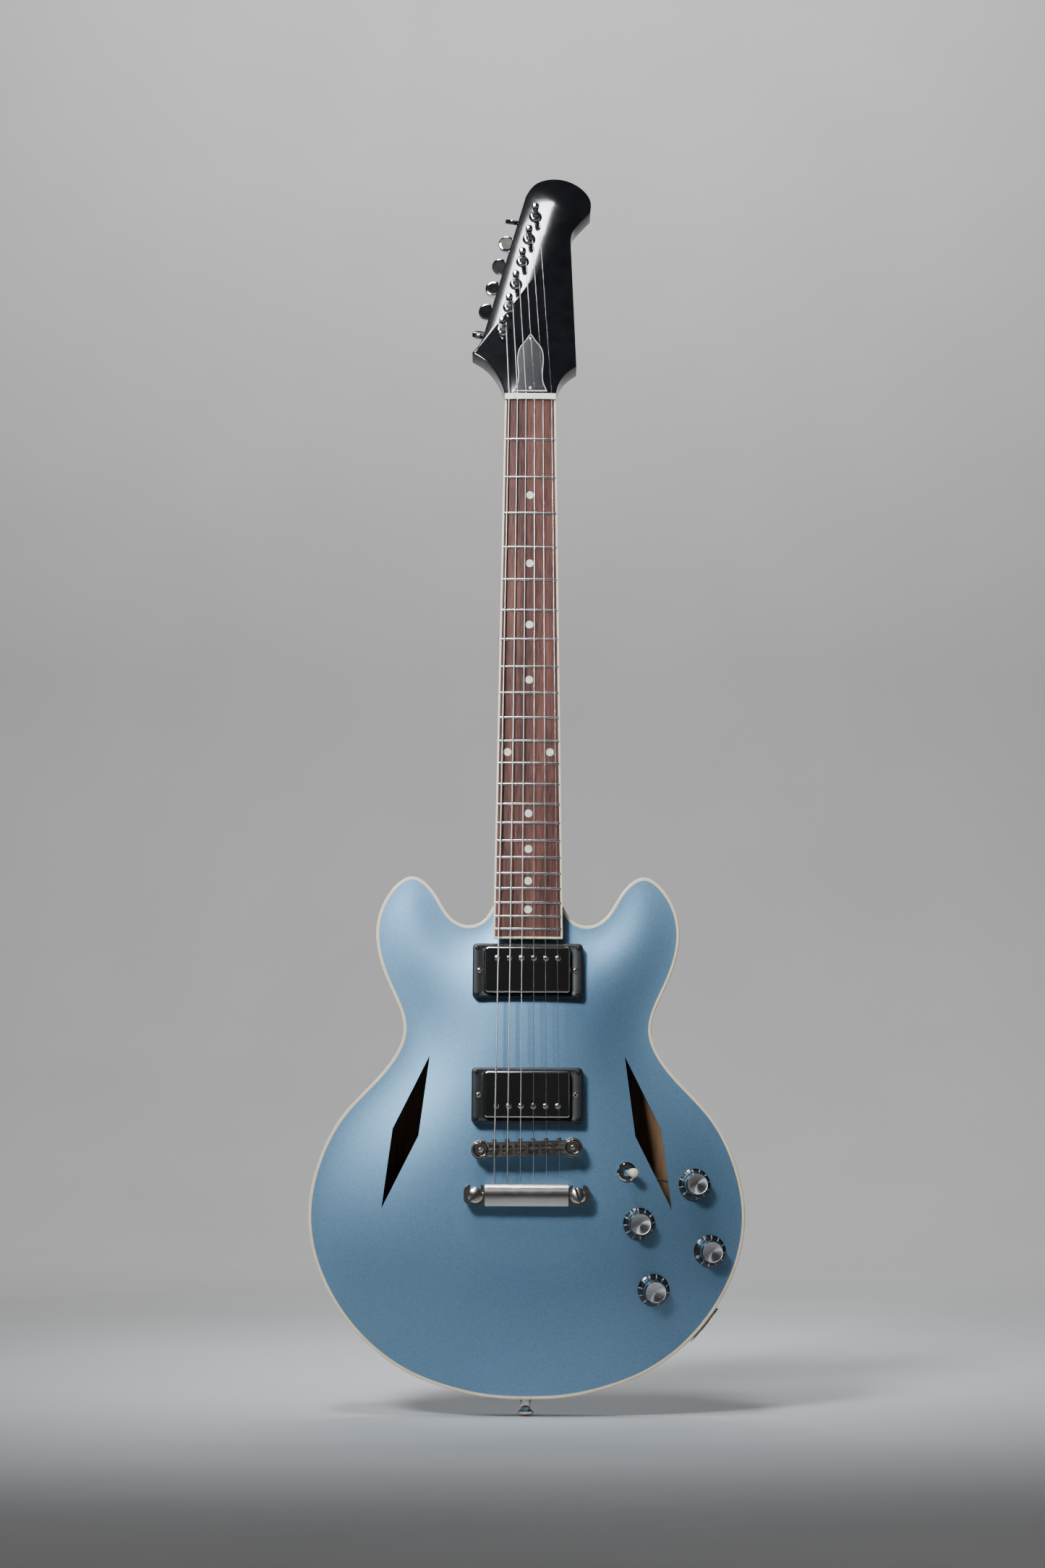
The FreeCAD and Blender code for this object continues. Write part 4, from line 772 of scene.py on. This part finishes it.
def skirt_numbers():
    """Numbers 0 to 10 and a tick under each, laid on the knob's skirt."""
    def on_skirt(middle, across, radius):
        angle = middle + across / radius
        return radius * math.sin(angle), skirt_y(radius), radius * math.cos(angle)

    low, high, half = *TICK_RADII, TICK_HALF_WIDTH
    tick = [(-half, high), (half, high), (half, low), (-half, low)]
    parts = []
    for number in range(11):
        middle = math.radians(KNOB_SWEEP * (number / 10 - 0.5))
        flat, faces = digit_mesh(str(number), DIGIT_HEIGHT)
        parts.append(([on_skirt(middle, u, DIGIT_RADIUS - v) for u, v in flat], faces))
        parts.append(([on_skirt(middle, u, r) for u, r in tick], [(0, 1, 2, 3)]))
    return merged(parts)


def own_frame(name, part, node_name, place, **options):
    """A piece whose coordinates are its own frame's, placed by its object."""
    obj = piece(name, *part, node_name, **options)
    obj.parent = None
    facing = place.to_quaternion().to_matrix().to_4x4()
    obj.matrix_world = Matrix.Translation(place.translation * MM) @ facing
    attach(obj, BODY_OF[node_name])
    return obj


def build_knobs():
    """Four black skirted knobs with white numbers and spun caps."""
    numbers = skirt_numbers()
    for index, (spot, angle) in enumerate(zip(KNOBS, KNOB_TURNS), 1):
        node_name = f"knob_{index}"
        place = top_frame(*spot) @ turn(angle, "Y")
        shell = turned(rounded(SKIRT_PROFILE, 0.35), 96)
        own_frame(f"knob_{index}_skirt", shell, node_name, place, sharp=40.0)
        cap = [(0, -KNOB_HEIGHT - 0.02), (7.7, -KNOB_HEIGHT - 0.12), (8.05, -KNOB_HEIGHT - 0.3),
               (8.25, -KNOB_HEIGHT - 0.1), (8.3, -KNOB_HEIGHT + 0.1)]
        own_frame(f"knob_{index}_cap", turned(cap, 96), node_name, place,
                  material=SPUN, replaces=False)
        own_frame(f"knob_{index}_numbers", numbers, node_name, place,
                  material=WHITE_PRINT, replaces=False)


def build_toggle():
    """Lever with its cream tip, as it rests, and a black ring and disc of painted shade in the throat
    that it stands in.
    """
    axis = Vector((0.3, 0, 1)).normalized()
    lean = move(0, LEVER_PIVOT, 0) @ turn(LEVER_LEAN, axis) @ move(0, -LEVER_PIVOT, 0)
    place = top_frame(*SWITCH) @ lean
    ball = [(0, 5.9), (2.2, 5.0), (3.0, 3.0), (2.2, 1.0), (1.5, 0.4), (1.5, -6.0), (0, -6.0)]
    stem = merged([turned(ball, 32), turned([(0, 13), (1.5, 13), (1.5, 3)], 24)])
    piece("toggle_stem", *stem, "toggle_lever", place, material=FINISH["nickel"])
    top = LEVER_PIVOT - 20.5
    side = [(0.01, 0), (1.9, 0.3), (3.4, 1.6), (3.9, 3.8), (3.6, 7), (2.7, 12.2)]
    tip = [tuple(p) for p in spline([(r, top + y) for r, y in side], 24)]
    tip += [(2.0, top + 12.5), (0, top + 12.5)]
    piece("toggle_tip", *turned(tip, 48), "toggle_lever", place, material=CREAM_TIP,
          replaces=False, sharp=50.0)
    # Painted shade: a black ring and a disc, in the coil's black, that darken the switch's throat.
    throat = [turned([(3.75, -2.64), (5.6, -2.64), (5.6, -2.5)], 48),
              turned([(0.01, 1.0), (3.7, 1.0)], 32)]
    piece("switch_throat_shade", *merged(throat), "switch_body", top_frame(*SWITCH),
          material=FINISH["coil"], replaces=False)


build_knobs()
build_toggle()

# ---------------------------------------------------------------- neck and headstock

def board_half_width(z):
    """Half the fingerboard's width at a height above its end."""
    return NUT_WIDTH / 2 + (BOARD_LENGTH - z) * TAPER / 2


def neck_loop(z, count=40):
    """Half-round section of the neck, deeper and squarer towards the heel."""
    along = min(1.0, max(0.0, (z - SHAFT_START) / (BOARD_LENGTH + NUT_THICK - SHAFT_START)))
    rise = min(1.0, max(0.0, (SHAFT_START - z) / (SHAFT_START - HEEL_TOP)))
    heel = rise ** 3 * (4 - 3 * rise)
    shaft = SHAFT_DEPTH + (NUT_DEPTH - SHAFT_DEPTH) * along
    depth = shaft + (HEEL_DEPTH - shaft) * heel
    power = 2 / (2.2 + 1.2 * heel)
    half = min(board_half_width(z), 28.2)
    points = []
    for k in range(count + 1):
        c, s = math.cos(math.pi * k / count), math.sin(math.pi * k / count)
        x = math.copysign(abs(c) ** power, c) * half
        points.append((x, BOARD_THICK + depth * abs(s) ** power, z))
    return points


def headstock_outline():
    """Edge of the headstock: straight tuner side, round top, hooked treble corner, two wings."""
    half = NUT_WIDTH / 2
    wing, tip, shoulder = (39.3, 31.6), (-49.9, 45.4), (-40.3, 65)
    notch, corner, crest = (34.9, 168), (52.3, 199.5), (-4.9, 216.6)
    curves = [
        spline([(half, 0), (23.2, 10), (28.2, 21), wing], 14),
        spline([wing, notch], 12),
        spline([notch, (36.6, 177.5), (43, 187.5), corner], 16),
        spline([corner, (53, 209.6), (43.5, 227), (22.9, 236.5), (4, 231), crest], 40),
        spline([crest, shoulder], 12),
        spline([shoulder, (-44.6, 53), tip], 12),
        spline([tip, (-40, 38), (-29.5, 24.3), (-23.4, 9), (-half, 0)], 20),
    ]
    return np.vstack([c[:-1] for c in curves] + [curves[-1][-1:]])


def inset_loop(loop, inset):
    """A closed outline moved inwards, with each corner mitred."""
    before, after = np.roll(loop, 1, axis=0), np.roll(loop, -1, axis=0)

    def normal(a, b):
        d = (b - a) / np.maximum(np.linalg.norm(b - a, axis=1), 1e-9)[:, None]
        return np.stack([-d[:, 1], d[:, 0]], axis=1)

    first, second = normal(before, loop), normal(loop, after)
    mitre = first + second
    mitre /= np.maximum((mitre * first).sum(axis=1), 0.35)[:, None]
    return loop + mitre * inset


def slab(loop, rows):
    """A plate with the given outline; each row is (inset, y), from the back face to the front."""
    verts = []
    for inset, y in rows:
        verts += [(x, y, z) for x, z in inset_loop(loop, inset)]
    count = len(loop)
    faces = ring_faces(len(rows), count)
    faces += [tuple(reversed(range(count))), tuple(range(len(verts) - count, len(verts)))]
    return verts, faces


def cover_outline():
    """Bell-shaped edge of the plate over the truss rod."""
    right = [(14.2, 4.2), (11.3, 12), (11.2, 36), (8.6, 51), (3.6, 58.5), (0, 64)]
    return spline(right + [(-x, z) for x, z in reversed(right[:-1])], 60)


def build_neck():
    """Shaft and heel, black headstock with its facing, and the two-ply cover."""
    shaft_end = BOARD_LENGTH + NUT_THICK
    heights = list(np.linspace(HEEL_FOOT, SHAFT_START, 30))
    heights += list(np.linspace(SHAFT_START, shaft_end, 40))[1:]
    loops = [neck_loop(z) for z in heights]
    count = len(loops[0])
    faces = ring_faces(len(loops), count)
    faces += [tuple(reversed(range(count))), tuple(range(count * (len(loops) - 1), count * len(loops)))]
    piece("neck_shaft", [v for loop in loops for v in loop], faces, "neck", NECK, sharp=50.0)
    edge = headstock_outline()
    core = slab(edge, [(0.8, HEAD_THICK), (0.25, HEAD_THICK - 0.25), (0, HEAD_THICK - 0.8), (0, VENEER)])
    piece("headstock_core", *core, "neck", HEAD, material=FINISH["black_lacquer"], sharp=40.0,
          replaces=False)
    face = slab(edge, [(0, VENEER), (0, 0.7), (0.22, 0.22), (0.7, 0)])
    piece("headstock_face", *face, "headstock_veneer", HEAD, sharp=40.0)
    base = slab(cover_outline(), [(0, 0), (0, -0.95), (0.1, -1.05)])
    piece("cover_white_ply", *base, "truss_rod_cover", HEAD, material=WHITE_PRINT, sharp=40.0,
          replaces=False)
    plate_rows = [(0.75, -0.9), (0.75, -1.75), (1.0, -2.0)]
    piece("cover_black_ply", *slab(cover_outline(), plate_rows), "truss_rod_cover", HEAD, sharp=40.0)
    screws = [moved(screw_head(1.9, 1.3, 0.6, True), HEAD @ move(0, -2, z)) for z in (6.6, 58.5)]
    for index in range(6):
        for z in (-12.2, 18.6):
            behind = tuner_frame(index) @ move(0, HEAD_THICK + 1.2, z) @ turn(180, "X")
            screws.append(moved(screw_head(2.2, 1.3, 0.6, True), behind))
    piece("small_screw_heads", *merged(screws), "wood_screws", material=FINISH["nickel"], sharp=30.0)


build_neck()

# ---------------------------------------------------------------- tuners

def build_tuners():
    """Posts, domed bushings and turned buttons."""
    post = rounded([(0, -17.2), (2.2, -17.1), (POST_RADIUS, -16.2), (POST_RADIUS, -13), (2.5, -11),
                    (2.5, -6), (POST_RADIUS, -4.5), (POST_RADIUS, HEAD_THICK + 1.6),
                    (4.2, HEAD_THICK + 1.6), (4.2, HEAD_THICK + 7.6), (0, HEAD_THICK + 7.6)], 0.5)
    dome = spline([(3.15, -3.0), (3.9, -2.95), (4.9, -2.3), (5.6, -1.1), (5.8, 0.0)], 16)
    dome = [tuple(p) for p in dome]
    disc = rounded([(0, -2.35), (5.2, -2.5), (7.3, -2.1), (7.3, 2.1), (5.2, 2.5), (0, 2.35)], 1.5, 6)
    along_x = turn(90, "Z")
    shaft = rounded([(0, -6.0), (1.8, -6.0), (1.8, 9.8), (2.8, 10.2), (2.8, 13.6), (2.0, 14.4),
                     (1.9, 17.0), (0, 17.0)], 0.4)
    bushings = []
    for index in range(6):
        place = tuner_frame(index)
        piece(f"post_{index + 1}", *turned(post, 40), f"tuner_post_{index + 1}", place)
        bushings.append(moved(turned(dome, 48), place))
        centre = move(0, KEY_DEPTH, KEY_OFFSET)
        button = moved(turned(disc, 64), move(-BUTTON_REACH, 0, 0))
        key = merged([moved(turned(shaft, 32), along_x), button])
        piece(f"key_{index + 1}", *key, f"tuner_key_{index + 1}",
              place @ centre @ turn(KEY_TURNS[index], "X"))
    piece("bushing_domes", *merged(bushings), "tuner_bushings")


build_tuners()

# ---------------------------------------------------------------- strings

def build_strings():
    """Six strings over the saddles and the nut, with turns round each post."""
    for index, radius in enumerate(STRING_RADII):
        route = string_route(index)
        line = [route["ball"], route["bar"]]
        over = route["bar"] + (route["bend"] - route["bar"]) * 0.02
        line += [over, route["bend"], route["crest"], route["nut"], route["leave"], route["post"]]
        material = WOUND if index < WOUND_STRINGS else None
        verts, faces = tube(line, radius, 14)
        piece(f"string_{index + 1}", verts, faces, "strings", material=material, replaces=index == 0)
        reach = POST_RADIUS - 0.4 + radius
        turns = 2.4 if index < WOUND_STRINGS else 3.6
        pitch = 2 * radius + 0.06
        steps = int(turns * 28)
        wrap = []
        for k in range(steps + 1):
            angle = 2 * math.pi * turns * k / steps
            height = WRAP_Y + pitch * turns * k / steps
            wrap.append((reach * math.cos(angle), height, reach * math.sin(angle)))
        wrap = [(reach, WRAP_Y, -1.2)] + wrap
        piece(f"string_{index + 1}_turns", *tube(wrap, radius, 12), f"tuner_post_{index + 1}",
              tuner_frame(index), material=material or FINISH["string_steel"], replaces=False)
        ball = turned(rounded([(0, -2), (1.9, -2), (1.9, 2), (0, 2)], 0.3), 20, turn(90, "X"))
        where = Matrix.Translation(route["ball"])
        piece(f"string_{index + 1}_ball", *moved(ball, where), "strings", replaces=False)


build_strings()

# ---------------------------------------------------------------- pickups

def ring_shape(place):
    """A mounting ring: sloped sides down to the arched top, flat face, and a wall inside."""
    width, height = RING_SIZE
    opening = (COVER_SIZE[0] + 1.4, COVER_SIZE[1] + 1.4)
    rows = []
    for inset, drop in ((1.9, 0), (0.9, 0.25), (0.35, 0.9), (0.1, 2.0)):
        loop = round_rectangle(width - 2 * inset, height - 2 * inset, 3.5)
        rows.append([(x, RING_FACE + drop, z) for x, z in loop])
    foot = []
    for x, z in round_rectangle(width, height, 3.5):
        spot = place @ Vector((x, RING_FACE + 12, z))
        for _ in range(3):
            landed = Vector((spot.x, top_y(spot.x, spot.z), spot.z))
            spot = place @ Vector((x, (place.inverted() @ landed).y, z))
        foot.append(tuple(place.inverted() @ (spot + Vector((0, 0.3, 0)))))
    rows.append(foot)
    inner = [[(x, y, z) for x, z in round_rectangle(opening[0] - d, opening[1] - d, 3.0)]
             for d, y in ((-0.7, RING_FACE), (0.0, RING_FACE + 0.35), (0.0, RING_FACE + 9))]
    rows = list(reversed(inner)) + rows
    verts = [v for row in rows for v in row]
    return verts, ring_faces(len(rows), len(rows[0]))


def build_pickups():
    """Covers, rings, pole screws and the small screws round them."""
    covers, rings, poles, heights, corners = [], [], [], [], []
    for number, (z, row) in enumerate(PICKUPS):
        place = pickup_frame(z)
        covers.append(moved(pressed(*COVER_SIZE, 2.6, 1.5, 0, COVER_DEPTH), place))
        rings.append(moved(ring_shape(place), place))
        for k in range(6):
            spot = move((k - 2.5) * 9.9, 0, row * 9.3) @ turn((k * 67 + number * 31) % 180, "Y")
            poles.append(moved(screw_head(2.4, 0.95, 0.7), place @ spot))
        for x in (-39, 39):
            spot = move(x, RING_FACE, 0) @ turn(30 + x, "Y")
            heights.append(moved(screw_head(2.6, 1.5, 0.75, True), place @ spot))
        for x in (-41.2, 41.2):
            for dz in (-18.6, 18.6):
                spot = move(x, RING_FACE, dz) @ turn(x * dz, "Y")
                corners.append(moved(screw_head(1.9, 1.2, 0.6, True), place @ spot))
    piece("pickup_cover_pair", *merged(covers), "pickup_covers", sharp=50.0)
    piece("pickup_ring_pair", *merged(rings), "pickup_rings", sharp=60.0)
    piece("pole_screw_heads", *merged(poles), "pickup_pole_screws", sharp=30.0)
    piece("height_screw_heads", *merged(heights), "pickup_height_screws", sharp=30.0)
    piece("ring_screw_heads", *merged(corners), "wood_screws", sharp=30.0, replaces=False,
          material=FINISH["ring_plastic"])


build_pickups()

# ---------------------------------------------------------------- bridge ends

# Painted shade: a dark metal that stands for the shadow in the recesses of the bridge's ears.
PAINTED_RECESS_SHADE = metal("recess_painted_shade", (0.09, 0.08, 0.07), (0.19, 0.17, 0.15), 0.35, 200.0)


def build_bridge_ends():
    """Raised rims on the bridge's ears with dark discs of painted shade in their recesses, and the
    slotted tips of its posts.
    """
    bridge = move(0, string_plane_y(BRIDGE_Z) + BRIDGE_RISE, BRIDGE_Z) @ turn(-BRIDGE_SLANT, "Y")
    rims, recesses, tips = [], [], []
    for side in (-1, 1):
        ear = bridge @ move(side * POST_HALF_SPACING, 0, 0)
        rims.append(turned(rounded([(4.5, 1.6), (4.7, 0.8), (6.4, 0.8), (6.58, 2.2)], 0.3), place=ear))
        recesses.append(turned([(0, 1.46), (4.8, 1.46)], place=ear))
        tips.append(moved(screw_head(2.0, 0.5, 0.7), ear @ move(0, 1.3, 0)))
    piece("ear_rims", *merged(rims), "bridge_bar", material=FINISH["nickel"], sharp=40.0,
          replaces=False)
    piece("ear_recess_shade", *merged(recesses), "bridge_bar", material=PAINTED_RECESS_SHADE, replaces=False)
    piece("post_tips", *merged(tips), "bridge_posts", material=FINISH["nickel"], sharp=30.0,
          replaces=False)


build_bridge_ends()

# ---------------------------------------------------------------- carried-over CAD nodes

EDGE_WIDTHS = {
    "nut": 0.3, "jack_plate": 0.4, "strap_buttons": 0.0, "bridge_bar": 0.35, "bridge_posts": 0.25,
    "stop_tailpiece": 0.8, "tailpiece_studs": 0.0, "tuner_housings": 0.3,
    "intonation_screws": 0.1, "output_jack": 0.15, "control_nuts": 0.15,
}
for name, width in EDGE_WIDTHS.items():
    refined(name, width)
for name, cad in sorted(frame["nodes"].items()):
    if not cad.hide_render:
        cad.data.materials.clear()
        cad.data.materials.append(FINISH[SLOT_OF[name]])

# ---------------------------------------------------------------- room, light and camera

FLOOR_Z = -14.8 * MM


def backdrop():
    """A pale floor that curves up into a pale wall behind the guitar."""
    width, front, wall, bend, top = 7.0, -4.5, 5.0, 1.5, 6.0
    line = [(front, FLOOR_Z), (wall - bend, FLOOR_Z)]
    steps = 16
    for k in range(1, steps + 1):
        angle = math.pi / 2 * k / steps
        line.append((wall - bend + bend * math.sin(angle), FLOOR_Z + bend - bend * math.cos(angle)))
    line.append((wall, top))
    verts = [(x, y, z) for y, z in line for x in (-width, width)]
    faces = [(2 * k, 2 * k + 1, 2 * k + 3, 2 * k + 2) for k in range(len(line) - 1)]
    mesh = bpy.data.meshes.new("backdrop")
    mesh.from_pydata(verts, [], faces)
    mesh.shade_smooth()
    obj = bpy.data.objects.new("backdrop", mesh)
    bpy.context.scene.collection.objects.link(obj)
    paper = plastic("backdrop_paper", (0.60, 0.60, 0.60), (0.63, 0.63, 0.63), 0.9, 0.0, 3.0)
    mesh.materials.append(paper)


def soft_light(name, place, target, size, power, colour=(1, 1, 1), spread=180):
    """A rectangular soft light at a place, facing a target, spreading over an angle."""
    data = bpy.data.lights.new(name, "AREA")
    data.spread = math.radians(spread)
    data.shape = "RECTANGLE"
    data.size, data.size_y = size
    data.energy = power
    data.color = colour
    lamp = bpy.data.objects.new(name, data)
    lamp.location = place
    lamp.rotation_euler = (Vector(target) - Vector(place)).to_track_quat("-Z", "Y").to_euler()
    bpy.context.scene.collection.objects.link(lamp)


SURROUND_COLOUR = (0.50, 0.53, 0.58, 1)
SURROUND_STRENGTH = 0.04
CAMERA_PLACE = (-0.0050, -2.2643, 0.1873)
CAMERA_TILT = 97.89
CAMERA_ROLL = 0.29
CAMERA_LENS = 62.9


def build_room():
    """Backdrop, five soft lights and a dim even surround."""
    backdrop()
    soft_light("key", (-0.85, -1.75, 1.5), (-0.16, 0, 0.62), (0.5, 0.5), 6.0, (0.88, 0.95, 1.0),
               spread=44)
    soft_light("front", (-0.6, -2.6, 2.2), (0, 0, 0.5), (1.6, 1.0), 1.4, (1.0, 0.9, 0.82))
    soft_light("fill", (1.6, -1.3, 1.0), (0, 0, 0.5), (0.5, 1.2), 0.8, (1.0, 0.94, 0.9))
    soft_light("wall_light", (0, 2.6, 4.4), (0, 5.0, 0.8), (4.0, 1.0), 150)
    soft_light("head_panel", (-0.36, -1.2, 2.9), (-0.05, 0, 0.93), (0.6, 0.7), 2.0,
               (0.93, 0.93, 1.0), spread=30)
    world = bpy.data.worlds.new("surround")
    world.use_nodes = True
    background = world.node_tree.nodes["Background"]
    background.inputs["Color"].default_value = SURROUND_COLOUR
    background.inputs["Strength"].default_value = SURROUND_STRENGTH
    bpy.context.scene.world = world


def build_camera():
    """Camera low in front of the guitar, near its centre line, tilted up a little."""
    data = bpy.data.cameras.new("camera")
    data.lens = CAMERA_LENS
    data.sensor_width = 36.0
    camera = bpy.data.objects.new("camera", data)
    place = Matrix.Translation(CAMERA_PLACE)
    camera.matrix_world = place @ turn(CAMERA_TILT, "X") @ turn(CAMERA_ROLL, "Z")
    bpy.context.scene.collection.objects.link(camera)
    bpy.context.scene.camera = camera


build_room()
build_camera()
